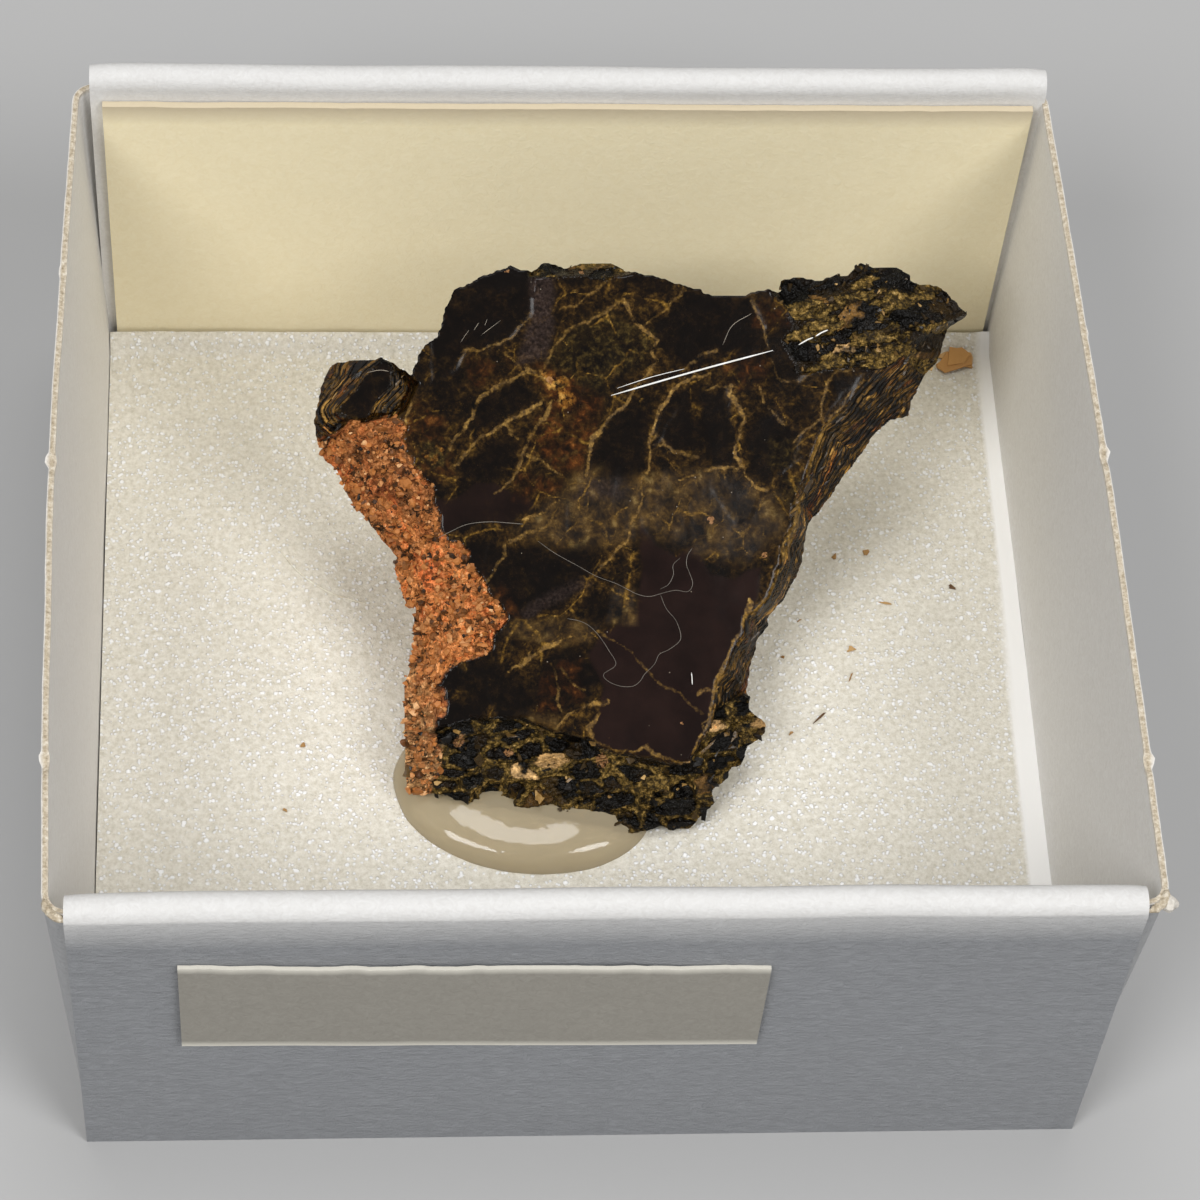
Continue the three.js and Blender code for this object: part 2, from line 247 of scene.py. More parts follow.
PLATES = [  # outline, height of its surface, slope to the right, slope upwards
    (BLOCK, 0.22, 0.01, -0.015),
    (BROWN_PLATE, 0.07, -0.012, 0.004),
    (GREY_PLATE, -0.06, 0.01, 0.012),
    (PURPLE_PLATE, 0.09, 0.0, -0.02),
    (DARK_PLATE, 0.1, 0.012, 0.004),
    (LOBE_PLATE, 0.25, 0.05, 0.04),
    ([(5.6, 13.9), (4.9, 17.3), (6.2, 17.3), (6.6, 15.4), (6.6, 14.5)], 0.05, -0.02, 0.01),
    ([(3.2, 15.6), (3.9, 17), (4.8, 17.4), (5, 15), (4, 14.8)], -0.05, 0.02, 0.01),
    ([(0.6, 14), (0.6, 15.2), (2.4, 17), (3, 16.4), (2.9, 14.2), (2.4, 13.5)], -0.04, 0.02, -0.02),
    ([(7.1, 14), (7, 15.6), (7.9, 16.5), (9.4, 15.6), (9, 14.4), (8, 13.4)], 0.06, 0.02, 0.02),
    ([(-5.4, 5.3), (-4.4, 6), (-2.6, 6.1), (-1.9, 4.8), (-2.2, 4), (-4, 4.3)], -0.08, 0.02, -0.03),
    ([(-1.7, 6), (-0.4, 7), (1, 5.9), (0.7, 4.7), (-0.6, 3.9), (-1.8, 4.3)], -0.02, -0.02, 0.01),
    ([(8, 17.5), (7.9, 19.8), (9.3, 19.7), (10.1, 18.9), (9.2, 17.7)], 0.12, 0.02, -0.02),
    ([(10.5, 16.6), (10.7, 18), (11.8, 17.9), (11.4, 16.9)], 0.08, -0.04, 0.02),
    (EYE_PLATE, 0.05, 0.03, 0.02),
    ([(-4.9, 16.7), (-3.3, 17.4), (-2.4, 17.9), (-1.5, 16.9), (-3, 16), (-4.6, 15.4)], 0.04, -0.01, 0.02),
    ([(-4.9, 14.2), (-3.2, 15.4), (-2.2, 15.3), (-3.2, 13.5), (-4.6, 13.5)], -0.03, 0.02, 0.0),
]

VEINS = [  # golden clay that fills the cracks between the plates: width, strength and course
    (0.12, 0.55, [
        (-4.6, 18.9), (-4, 19), (-3.4, 19.1), (-3.1, 19.2), (-2.6, 19.6), (-2.2, 20.1), (-1.9, 20.5)]),
    (0.1, 0.45, [(-3.2, 18.9), (-2.7, 18.6), (-2.3, 18.2)]),
    (0.3, 0.75, [(-2.2, 18), (-3.1, 17.5), (-3.8, 17), (-4.2, 16.5), (-4.6, 15.7), (-5, 15.2), (-5.1, 14.9)]),
    (0.16, 0.8, [(-1.5, 16.8), (-2.4, 16.1), (-3, 15.9), (-3.9, 15.3), (-4.4, 14.8), (-5, 14.1)]),
    (0.12, 0.6, [(-3, 15.9), (-2.6, 15.6), (-2.3, 15.4)]),
    (0.18, 0.75, [(-1, 16.9), (-1.3, 16.2), (-1.8, 15.4), (-2.5, 14.2), (-2.7, 13.7), (-3.3, 13)]),
    (0.12, 0.6, [(-2, 14.7), (-1.5, 14.4), (-1, 14.1), (-0.6, 13.9)]),
    (0.4, 0.9, [(-2.0, 18.1), (-1.5, 17.9), (-0.9, 17.3)]),
    (0.14, 0.6, [(0, 20), (0.5, 20.15), (1.3, 20.7), (1.8, 21)]),
    (0.16, 0.6, [(-0.6, 20.7), (0, 20.95), (0.9, 21.5), (1.7, 22.1)]),
    (0.22, 0.5, [(0, 20), (-0.4, 19.7), (-0.7, 19.3), (-1, 18.8), (-1.3, 18.2)]),
    (0.22, 0.85, [
        (2, 21.1), (2.1, 20.6), (2.5, 20.1), (3, 19.7), (3.4, 19.4), (3.1, 18.8), (3.4, 18.5), (3.1, 18.2),
        (2.3, 17.1), (1.6, 16.2), (0.7, 15.4), (0.45, 14.5), (0.4, 13.8)]),
    (0.14, 0.7, [(2.9, 20.1), (3.4, 20.4), (3.9, 20.8), (4.3, 21.2), (4.6, 21.5)]),
    (0.17, 0.85, [
        (5.5, 18), (4.9, 17.9), (4.1, 17.3), (3.5, 16.4), (3.05, 15.4), (3, 14.2), (2.7, 13.1), (2.5, 12.2),
        (2, 11.2), (1.3, 10.3), (0.7, 9.6)]),
    (0.14, 0.5, [(5.9, 18.95), (5.1, 18.8), (4.7, 18.4), (4.4, 18.1)]),
    (0.12, 0.6, [(3.1, 15.3), (3.3, 15.55), (3.6, 15.2), (3.2, 15.1)]),
    (0.3, 0.4, [(3.5, 15.2), (4.3, 14.8), (5, 14.5)]),
    (0.14, 0.7, [(7.2, 21.1), (7.5, 20.5), (7.8, 20), (7.95, 19.3), (8.1, 19)]),
    (0.17, 0.85, [
        (6.4, 17.5), (6.3, 17.1), (6.8, 16.5), (7.05, 15.9), (6.8, 15.6), (6.5, 14.6), (7, 14.1),
        (7.1, 13.8), (7.5, 13.3), (7.9, 13.1)]),
    (0.14, 0.65, [(7.6, 17.5), (7.8, 16.9), (8.3, 16.2), (8.6, 16)]),
    (0.16, 0.75, [(4.2, 13.6), (5.1, 13.9), (5.6, 14.1), (6.2, 14.15), (6.7, 14.1)]),
    (0.14, 0.6, [(5.4, 17.3), (5.9, 17.45), (6.3, 17.4)]),
    (0.2, 0.8, [(-0.8, 12.6), (-1.2, 12.3), (-1.7, 12.05), (-2.2, 11.9)]),
    (0.2, 0.7, [(-2.7, 11.1), (-2, 11.4), (-1.2, 11.6), (-0.9, 12.2)]),
    (0.12, 0.6, [(8.1, 18.6), (8.3, 17.9), (8.8, 17.65), (9.4, 17.8), (9.9, 18.2), (10.2, 18.8)]),
    (0.16, 0.75, [
        (11.5, 18.1), (10.9, 18.1), (10.7, 18.0), (10.5, 17.6), (10.2, 16.6), (10.1, 16.1), (9.3, 15.5),
        (9, 15.1)]),
    (0.32, 0.9, [(-2.8, 5.6), (-2.3, 5.9), (-1.8, 6.4), (-1.2, 6.8), (-0.3, 7.2)]),
    (0.16, 0.6, [(-2.9, 10.9), (-3.1, 10.4), (-3.4, 9.9), (-3.7, 9.4)]),
    (0.1, 0.4, [(0.9, 7.35), (1.5, 7.1), (2.6, 6.1), (3.4, 5.3), (4.2, 4.8), (5.1, 4)]),
    (0.16, 0.75, [(5, 4.8), (5.4, 4.9), (5.8, 4.8), (6.1, 4.3), (5.6, 3.9), (5.1, 3.6), (5.2, 3.2)]),
    (0.34, 1.0, [(-0.9, 3.4), (-0.3, 3.9), (0.2, 4.2), (0.7, 4.4), (1.3, 4.5)]),
    (0.14, 0.55, [(-1, 6), (-0.9, 5.2), (-0.7, 4.4), (-0.6, 4)]),
    (0.12, 0.45, [(-0.7, 5.9), (0, 5.2), (0.3, 4.9)]),
    (0.2, 0.8, [
        (0.9, 4), (0.5, 3.4), (0.7, 2.8), (1.3, 2.45), (2.4, 2.35), (2.9, 2.5), (3.3, 2.25), (4.4, 1.95)]),
    (0.3, 0.9, [(-7.5, 14.2), (-7.1, 15.4), (-6.7, 16.8)]),
    (0.35, 0.9, [(9.4, 13.0), (9.1, 11.9), (8.8, 11), (8.5, 9.8), (7.9, 8.8), (7.3, 8.2)]),
    (0.25, 0.8, [(11.4, 17.2), (10.6, 16.3), (10.1, 15.2), (9.7, 14.1), (9.4, 13.0)]),
    (0.4, 1.0, [(7.2, 8.6), (6.7, 7.2), (6.2, 6.3), (6, 5.6), (5.65, 5), (5.35, 3.5), (4.8, 2.4)]),
]

# Patches of colour on the flat sheets: strength, softness of the edge, and outline.
# painted glow: the orange of light shining through the sheets, and the ember, are put in as colour
AMBER = [  # light glows orange through the sheets; above a strength of 1 it is an ember
    (1.6, 0.7, [(-1.7, 18.2), (-0.5, 18), (0.2, 17.3), (0, 16.5), (-0.6, 16.4), (-1.3, 17.2)]),
    (1.45, 0.3, [(-6.5, 14.7), (-6.3, 15.2), (-5.7, 15.3), (-5.3, 14.9), (-5.5, 14.3), (-6, 14.1)]),
    (0.45, 0.5, [(-4.5, 18.8), (-3.3, 18.9), (-2.3, 18.2), (-3.1, 17.6), (-4.3, 17.4)]),
    (1.0, 0.7, [
        (-1.2, 17.6), (0, 17.5), (0.9, 16.8), (0.9, 15.8), (0.4, 15), (0.2, 14.2), (-0.6, 14), (-1.2, 14.4),
        (-1.9, 15), (-1, 16.9)]),
    (0.6, 0.5, [(7.4, 20), (7.6, 21), (9, 20.9), (8.9, 20)]),
    (0.65, 0.5, [(6.2, 17.3), (6.2, 18.4), (8, 18.6), (7.6, 17.5)]),
    (0.55, 0.4, [(-1.8, 4.0), (-1.2, 6), (0.2, 6.2), (0.3, 4.4)]),
    (0.5, 0.6, [(-6.2, 13.3), (-7.6, 14.2), (-7, 17), (-5.9, 17), (-5.2, 15.6), (-5, 13.9)]),
    (0.45, 0.5, [(-2.6, 12.8), (-2.6, 13.9), (-0.6, 13.7), (-0.8, 12.8)]),
    (0.5, 0.5, [(-4.4, 8.6), (-3.9, 9.7), (-2.9, 9), (-2.4, 8)]),
]
OLIVE = [  # mossy
    (0.75, 0.5, [
        (0, 20), (-0.7, 19.4), (-1.2, 18.4), (-0.6, 17.9), (0.4, 17.6), (1.2, 17.2), (1.6, 17.9), (3, 18.3),
        (3.3, 19.1), (3.2, 19.8), (2.4, 20.2), (1.2, 20.6)]),
    (1.0, 0.3, [(-6.6, 14.7), (-6.3, 15.3), (-5.7, 15.4), (-5.2, 14.9), (-5.4, 14.2), (-6, 14)]),
    (0.8, 0.5, [(-10.9, 15), (-10.6, 18.4), (-9.4, 19), (-9.2, 18.2), (-9.7, 16.8), (-9.9, 15.6)]),
    (0.5, 0.4, [(-8, 15.6), (-7.6, 16.6), (-6.9, 18), (-6.6, 17.4), (-7.1, 15.7)]),
    (0.75, 0.4, [(8, 12.7), (8.6, 13.6), (9.7, 13.7), (9.2, 12.6)]),
    (0.6, 0.5, [(3.5, 0.2), (3.7, 1.8), (5.2, 1.7), (5, 0.3)]),
    (0.8, 0.4, [(5.6, 2.6), (5.8, 3.7), (6.9, 3.6), (6.8, 2.6)]),
    (0.5, 0.4, [(8, 14), (8, 15.3), (9.2, 15.3), (9.2, 14.2)]),
]
HAZE = [  # thin pale flakes
    (0.75, 0.9, [
        (-2.6, 11.6), (-1, 12.9), (0.4, 14.2), (2, 13.6), (3.5, 13.9), (6.6, 14), (8.2, 13), (8.6, 11.4),
        (7, 10.3), (5, 10.6), (3, 11.4), (1.6, 10.9), (0, 10.9), (-2, 11.1)]),
    (0.7, 0.2, [(1.2, 7.7), (1.5, 9.3), (2.5, 9.0), (2.52, 7.6)]),
    (0.6, 0.5, [(-3.2, 7.4), (-2.6, 7.9), (-0.5, 7.9), (1, 7.6), (0.6, 6.9), (-1.6, 6.9)]),
    (0.5, 0.4, [(-3.4, 3.4), (-2.4, 4.1), (-0.8, 3.9), (-0.9, 3), (-2.2, 2.7)]),
    (0.6, 0.3, [(0.1, 1.6), (0.6, 2.4), (1.9, 2.3), (1.6, 1.7)]),
]
GREY = [  # dusty
    (0.6, 0.4, [(-1.85, 20.3), (-1.85, 22.5), (-0.85, 22.4), (-0.9, 20.4), (-1.2, 18.6), (-2.4, 18.3)]),
    (0.35, 0.5, [(0, 12.8), (0.3, 13.7), (2, 13.6), (2, 12.9)]),
    (0.4, 0.4, [(-2.1, 7.9), (-1, 8.5), (0.6, 9.3), (0.2, 9.5), (-1.2, 9), (-2.3, 8.3)]),
]
# small bright spots: partly painted glints, partly pale fragments
GLINTS = [  # small bright spots: place and radius
    (0.3, 22.25, 0.2), (-2.9, 22.25, 0.14), (-7.4, 13.4, 0.1), (-6.8, 13.5, 0.09), (-6.3, 13.75, 0.08),
    (7.8, 10.5, 0.22), (7.5, 7.5, 0.1), (5.5, 12.05, 0.24), (4.3, 3.55, 0.12), (1.3, 2.95, 0.1),
    (-6.4, 2.1, 0.3), (-4.8, 2.9, 0.35), (-2.8, 2.35, 0.3), (1.0, 2.0, 0.45), (-1.1, 17.7, 0.25),
]

GRID_STEP = 0.07
CRACK_SIZE, WEB_SIZE = 2.1, 0.85  # the pieces that the long and the fine cracks leave
WAVE, WAVE_SIZE = 0.16, 0.9  # how far the outlines wander, and over what length
STEP_SHARE = 0.12  # how much of a plate's height shows at its edge
STAIR = 0.16  # height of a step of the edge-on sheets
BLOCK_SIZE, CHIP_SIZE = 0.95, 0.8  # broken blocks of the foot, and smaller ones of the wing and crest
RIM_RINGS = 8
ROCK_SUNK, ROCK_ROUND = 0.15, 1.7  # how far the rock lies below the plates, and falls off to its edge
FRAYED_FALL = 1.9  # depth of the whole stair of edge-on sheets
FOOT_SUNK, FOOT_SLOPE = 0.35, 0.42
WING_FALL, CREST_FALL = 0.9, 0.8  # how far the torn edges bend down
TERRACE, TERRACE_DROP = 0.22, 0.12  # width and height of the steps round the lobe's plate
FOLD_SLOPE = 0.15  # how steeply the black block bends back
BACK_EVERY = 7  # the hidden back has one point for this many of the face, each way
BACK_STEP = 0.2  # height of its terraces
BACK_DEPTH, BACK_SWELL = 2.75, 1.5  # its depth at the rim, and how much deeper it is in the middle
BACK_MARGIN = 0.8  # how far its points stay inside the outline


def weighted(a, b, patches):
    total = np.zeros(a.shape)
    for strength, feather, outline in patches:
        total = np.maximum(total, strength * zone(a, b, outline, feather))
    return total


def vein_masks(a, b):
    """Millimetres to the edge of the nearest vein, that vein's strength, and the smoke round the veins."""
    gap, power, smoke = np.ones(a.shape), np.zeros(a.shape), np.zeros(a.shape)
    bend_a = a + 0.13 * fractal(a, b, 0.5, 127, 3)
    bend_b = b + 0.13 * fractal(a, b, 0.5, 129, 3)
    swell = np.clip(0.12 + 0.32 * fractal(a, b, 1.1, 131, 3), 0.02, 0.42)
    for width, strength, course in VEINS:
        low, high = np.min(course, axis=0) - 1.5, np.max(course, axis=0) + 1.5
        near = np.nonzero((a > low[0]) & (a < high[0]) & (b > low[1]) & (b < high[1]))[0]
        away, _ = line_distance(bend_a[near], bend_b[near], course)
        reach = away - width * swell[near]
        closer = near[reach < gap[near]]
        gap[closer] = reach[reach < gap[near]]
        power[closer] = strength
        smoke[near] = np.maximum(smoke[near], strength * np.exp(-away / (0.28 + width)))
    return gap, power, smoke


def crack_distance(a, b, size, seed):
    """Millimetres to the nearest crack of a net that splits the face into pieces about `size` across."""
    bent_a = a + 0.22 * size * fractal(a, b, 0.7 * size, seed + 1, 3)
    bent_b = b + 0.22 * size * fractal(a, b, 0.7 * size, seed + 5, 3)
    near, second, _, _ = cells(bent_a, bent_b, size, seed)
    return size * (second - near) / 2


class Face:
    """The face at the given points: masks for the material, and the height c above the face's plane."""

    def __init__(self, a, b):
        self.a, self.b = a, b
        self.wave = (a + WAVE * fractal(a, b, WAVE_SIZE, 11, 4), b + WAVE * fractal(a, b, WAVE_SIZE, 31, 4))
        self.edge, _ = line_distance(a, b, BOOK, closed=True)
        shore = self.wave[0] + 0.5 * fractal(a, b, 1.0, 47, 4)
        self.masks = {"rock": zone(shore, self.wave[1], ROCK, 0.2)}
        self.foot, self.wing = self.area(FOOT, 0.3), self.area(WING, 0.5)
        self.lobe, self.crest = self.area(LOBE, 0.4), self.area(CREST, 0.3)
        self.mark_colors()
        self.mark_broken_parts()
        self.height = self.plate_height()
        self.lay_rock()
        self.cut_stairs()
        self.break_foot()
        self.tear_edges()
        self.bend_block()
        for name in ("rock", "rough", "frayed"):
            self.masks[name] = ease(self.masks[name], 0.02, 0.45)

    def area(self, outline, feather):
        return zone(*self.wave, outline, feather)

    def cover(self, level, share):
        self.height = self.height * (1 - share) + level * share

    def mark_colors(self):
        """Veins, cracks and the patches of colour on the flat sheets."""
        m = self.masks
        m["vein"], m["power"], m["smoke"] = vein_masks(*self.wave)
        m["crack"] = crack_distance(self.a, self.b, CRACK_SIZE, 203)
        m["web"] = crack_distance(self.a, self.b, WEB_SIZE, 207)
        for name, patches in (("amber", AMBER), ("olive", OLIVE), ("haze", HAZE), ("grey", GREY)):
            m[name] = weighted(*self.wave, patches)
        m["brown"] = np.maximum(self.area(BROWN_PLATE, 0.2), 0.7 * self.area(PURPLE_PLATE, 0.2))
        m["glint"] = np.zeros(self.a.shape)
        for x, y, radius in GLINTS:
            away = np.hypot(self.wave[0] - x, self.wave[1] - y)
            m["glint"] = np.maximum(m["glint"], 1 - ease(away, radius * 0.5, radius))

    def mark_broken_parts(self):
        """Where the book is frayed or rough, and the place across and along its frayed sheets."""
        m = self.masks
        self.inner, self.along = line_distance(*self.wave, FRAYED)
        self.lobe_depth, lobe_along = line_distance(*self.wave, LOBE_PLATE, closed=True)
        m["across"] = np.where(self.lobe > 0.5, self.lobe_depth, self.inner)
        m["along"] = np.where(self.lobe > 0.5, lobe_along, self.along)
        lobe_sheets = self.lobe * (1 - self.area(LOBE_PLATE, 0.12))
        m["frayed"] = np.maximum(self.area(FRAYED + BEYOND_FRAYED, 0.3), lobe_sheets)
        m["rough"] = np.clip(np.maximum.reduce([self.foot, self.wing, self.crest]), 0, 1)
        m["rough"] *= 1 - 0.7 * self.area(EYE_PLATE, 0.5)

    def plate_height(self):
        """The flat sheets: plates that are slightly tipped, with crisp edges."""
        a, b, m = self.a, self.b, self.masks
        height, m["clean"] = np.zeros(a.shape), np.zeros(a.shape)
        for outline, level, slope_a, slope_b in PLATES:
            centre = np.mean(outline, axis=0)
            sheet = level + slope_a * (a - centre[0]) + slope_b * (b - centre[1])
            height += STEP_SHARE * sheet * self.area(outline, 0.3)
            m["clean"] = np.maximum(m["clean"], self.area(outline, 0.5))
        height += 0.02 * fractal(a, b, 2.5, 5, 3)
        _, _, broken, _ = cells(*self.wave, 1.6, 17)
        loose = 1 - np.maximum(m["brown"], zone(a, b, DARK_PLATE, 0.3))
        height += loose * 0.008 * (broken - 0.5)
        return height - 0.01 * m["haze"] * fractal(a, b, 0.5, 41, 3)

    def lay_rock(self):
        """Granular rock, lower than the plates and rounded off towards its outer edge."""
        near, _, _, tone = cells(*self.wave, 0.3, 3)
        rounded = 0.12 * (1 - np.clip(near, 0, 1)) + 0.2 * tone
        level = -ROCK_SUNK - ROCK_ROUND * (1 - ease(self.edge, -0.3, 2.2))
        self.cover(level + rounded + 0.22 * fractal(self.a, self.b, 1.1, 7, 3), self.masks["rock"])

    def cut_stairs(self):
        """The edge-on sheets: a staircase down to the outer edge."""
        share = np.clip(self.inner / (self.inner + self.edge + 1e-6), 0, 1)
        stairs = share * FRAYED_FALL + 0.09 * fractal(self.along * 0.6, self.inner * 3, 1.0, 23, 3)
        tread = np.floor(stairs / STAIR)
        climb = stairs / STAIR - tread
        stairs = STAIR * (tread + ease(climb, 0.55, 1.0))
        self.cover(-stairs, self.masks["frayed"] * (1 - self.lobe))

    def break_foot(self):
        """The broken foot: tumbled blocks that step down towards the pad."""
        a, b, m = self.a, self.b, self.masks
        wave_a, wave_b = self.wave
        drop, _ = line_distance(a, b, FOOT[1:-3])
        near, second, block, _ = cells(wave_a * 0.75, wave_b * 1.3, BLOCK_SIZE, 53)
        _, _, self.chip, _ = cells(wave_a * 0.6 - wave_b * 0.3, wave_b * 1.5, CHIP_SIZE, 59)
        seam = BLOCK_SIZE * (second - near) / 2 - 0.05 + 0.22 * fractal(a * 0.7, b * 1.4, 0.8, 213, 4)
        patchy = 0.1 + 0.5 * fractal(a * 0.6 - b * 0.3, b * 1.6, 0.8, 217, 4)
        m["vein"] = np.where(m["rough"] > 0.3, np.where(self.foot > 0.5, seam, patchy), m["vein"])
        m["block"] = np.where(self.foot > 0.5, block, self.chip)
        tumbled = 0.55 * (block - 0.5)
        self.cover(-FOOT_SUNK - FOOT_SLOPE * drop + tumbled + 0.22 * (self.chip - 0.5), self.foot)

    def tear_edges(self):
        """The ragged wing and crest, and the terraces round the plate of the lobe."""
        a, b, edge = self.a, self.b, self.edge
        ragged = 0.5 * fractal(a, b * 1.6, 1.2, 61, 4) + 0.22 * (self.chip - 0.5)
        self.height += np.maximum(self.wing, self.crest) * self.masks["rough"] * ragged * 0.7
        wing_drop = -WING_FALL * self.wing * (1 - ease(edge, 0, 1.6))
        self.height += wing_drop - CREST_FALL * self.crest * (1 - ease(edge, 0, 0.7))
        bowl = np.round(self.lobe_depth / TERRACE + 0.6 * fractal(a, b, 0.8, 67, 2)) * TERRACE_DROP
        on_plate = contains(*self.wave, LOBE_PLATE)
        self.height -= self.lobe * np.where(on_plate, 0, np.clip(bowl, 0, 1.4))

    def bend_block(self):
        """The black block bends back above its fold."""
        folded, _ = line_distance(self.a, self.b, FOLD)
        above = contains(self.a, self.b, FOLD + ABOVE_FOLD)
        self.height -= np.where(above, FOLD_SLOPE * folded, 0)
        self.height += self.masks["rough"] * 0.05 * fractal(self.a, self.b, 0.25, 83, 2)


def to_tray(a, b, c):
    return FACE_ORIGIN + np.outer(a, FACE_A) + np.outer(b, FACE_B) + np.outer(c, FACE_C)


def kept_cells(solid):
    """Grid squares with all four corners in the outline, in one patch that nowhere hangs by one corner."""
    quads = solid[:-1, :-1] & solid[1:, :-1] & solid[:-1, 1:] & solid[1:, 1:]
    for _ in range(4):
        padded = np.pad(quads, 1)
        low_left, low_right = padded[:-1, :-1], padded[:-1, 1:]
        high_left, high_right = padded[1:, :-1], padded[1:, 1:]
        ties = low_left & high_right & ~low_right & ~high_left
        ties |= low_right & high_left & ~low_left & ~high_right
        quads &= ~(ties[1:, 1:] | ties[:-1, 1:] | ties[1:, :-1] | ties[:-1, :-1])
    patch = np.zeros_like(quads)
    rows, columns = quads.shape
    patch[rows // 2, columns // 2] = True
    while True:
        grown = patch.copy()
        grown[1:] |= patch[:-1]
        grown[:-1] |= patch[1:]
        grown[:, 1:] |= patch[:, :-1]
        grown[:, :-1] |= patch[:, 1:]
        grown &= quads
        if (grown == patch).all():
            return patch
        patch = grown


def boundary_loop(quads, number):
    """The patch's outer corners in order, as indices into the numbered grid."""
    padded = np.pad(quads, 1)
    after = {}
    rows, columns = np.nonzero(quads)
    for r, c in zip(rows.tolist(), columns.tolist()):
        corners = number[r, c], number[r, c + 1], number[r + 1, c + 1], number[r + 1, c]
        beside = (padded[r, c + 1], padded[r + 1, c + 2], padded[r + 2, c + 1], padded[r + 1, c])
        for k in range(4):
            if not beside[k]:
                after[int(corners[k])] = int(corners[(k + 1) % 4])
    start = next(iter(after))
    loop, here = [start], after[start]
    while here != start:
        loop.append(here)
        here = after[here]
    return np.array(loop)


def running_mean(values, reach):
    """Mean over `reach` neighbours each way round a closed loop."""
    return sum(np.roll(values, k, axis=0) for k in range(-reach, reach + 1)) / (2 * reach + 1)


def face_grid():
    """Points of a fine grid on the face, its squares that belong to the book, and each corner's number."""
    low, high = np.min(BOOK, axis=0) - 0.2, np.max(BOOK, axis=0) + 0.2
    steps = [np.arange(low[k], high[k], GRID_STEP) for k in (0, 1)]
    grid_a, grid_b = np.meshgrid(*steps)
    ragged_a = grid_a + 0.1 * fractal(grid_a, grid_b, 0.5, 91, 3)
    ragged_b = grid_b + 0.1 * fractal(grid_a, grid_b, 0.5, 95, 3)
    quads = kept_cells(contains(ragged_a, ragged_b, BOOK))
    used = np.zeros(grid_a.shape, bool)
    for r in (slice(0, -1), slice(1, None)):
        for c in (slice(0, -1), slice(1, None)):
            used[r, c] |= quads
    number = np.full(grid_a.shape, -1)
    number[used] = np.arange(used.sum())
    return grid_a[used], grid_b[used], quads, number


def edge_rings(ring, rim_top):
    """The broken edge: rings that step in and out sheet by sheet, from the face down to the back."""
    steady = running_mean(ring, 5)
    along = np.roll(steady, -1, axis=0) - np.roll(steady, 1, axis=0)
    along /= np.linalg.norm(along, axis=1)[:, None] + 1e-9
    inward = np.stack([-along[:, 1], along[:, 0]], axis=1)
    walk = np.arange(len(ring)) * GRID_STEP
    rim_low = np.minimum(rim_top - 0.5, -2.5 + 0.3 * smooth_noise(walk, walk * 0, 3.0, 101))
    rings = []
    for k in range(1, RIM_RINGS + 1):
        t = k / RIM_RINGS
        c = rim_top + (rim_low - rim_top) * t
        sheet = 0.11 * fractal(walk * 0.35, c * 9, 1.0, 107, 3) + 0.05 * smooth_noise(walk, c * 4, 0.4, 109)
        inset = 0.06 + 0.5 * t * t + sheet
        rings.append(np.column_stack([running_mean(ring, 1) + inward * inset[:, None], c]))
    return rings


def back_faces(ring, back_a, back_b, rim_numbers, start):
    """Triangles that close the back, between its last ring and the points numbered from `start`."""
    count = len(ring)
    plan = [Vector(p) for p in ring] + [Vector(p) for p in zip(back_a, back_b)]
    _, _, triangles, origins, _, _ = delaunay_2d_cdt(plan, [], [list(range(count))], 1, 1e-6, True)
    place = [old[0] for old in origins]
    corners = np.array([list(triangle) for triangle in triangles])
    middle = np.array(plan)[np.array(place)[corners]].mean(axis=1)
    inside = contains(middle[:, 0], middle[:, 1], ring)
    under = []
    for triangle in corners[inside]:
        corner = [place[i] for i in triangle]
        corner = [rim_numbers[i] if i < count else start + i - count for i in corner]
        under.append(corner[::-1])
    return under


def mica_mesh():
    """The book as one closed mesh: its face, its broken edge and its hidden back in coarse terraces."""
    a, b, quads, number = face_grid()
    face = Face(a, b)
    loop = boundary_loop(quads, number)
    count = len(loop)
    ring = np.stack([a[loop], b[loop]], axis=1)
    a[loop], b[loop] = running_mean(ring, 1).T  # rounds the staircase of the grid's own border
    spot = number[::BACK_EVERY, ::BACK_EVERY].ravel()
    spot = spot[spot >= 0]
    spot = spot[face.edge[spot] > BACK_MARGIN]
    back = -BACK_DEPTH - BACK_SWELL * ease(face.edge[spot], 0.6, 3.6)
    back += 0.25 * fractal(a[spot], b[spot], 2.5, 113, 3)
    back = np.round(back / BACK_STEP) * BACK_STEP

    rings = edge_rings(ring, face.height[loop])
    back_points = np.column_stack([a[spot], b[spot], back])
    points = np.vstack([np.column_stack([a, b, face.height]), *rings, back_points])
    rows, columns = np.nonzero(quads)
    around = [(rows, columns), (rows, columns + 1), (rows + 1, columns + 1), (rows + 1, columns)]
    faces = [np.stack([number[corner] for corner in around], axis=1)]
    upper = loop
    for k in range(RIM_RINGS):
        lower = len(a) + k * count + np.arange(count)
        faces.append(np.stack([np.roll(upper, -1), upper, lower, np.roll(lower, -1)], axis=1))
        upper = lower
    under = back_faces(ring, a[spot], b[spot], upper, len(points) - len(spot))

    world = to_tray(points[:, 0], points[:, 1], points[:, 2])
    world[:, 2] = np.maximum(world[:, 2], PAD_TOP - 0.02)
    source = np.concatenate([np.arange(len(a)), np.tile(loop, RIM_RINGS), spot])
    values = {name: mask[source] for name, mask in face.masks.items()}
    values["frayed"][len(a):] = np.maximum(values["frayed"][len(a):], 0.75)
    values["across"][len(a):] = -points[len(a):, 2]
    walk = np.arange(count) * GRID_STEP
    values["along"][len(a):] = np.concatenate([np.tile(walk, RIM_RINGS), a[spot]])
    return world, np.vstack(faces).tolist() + under, values


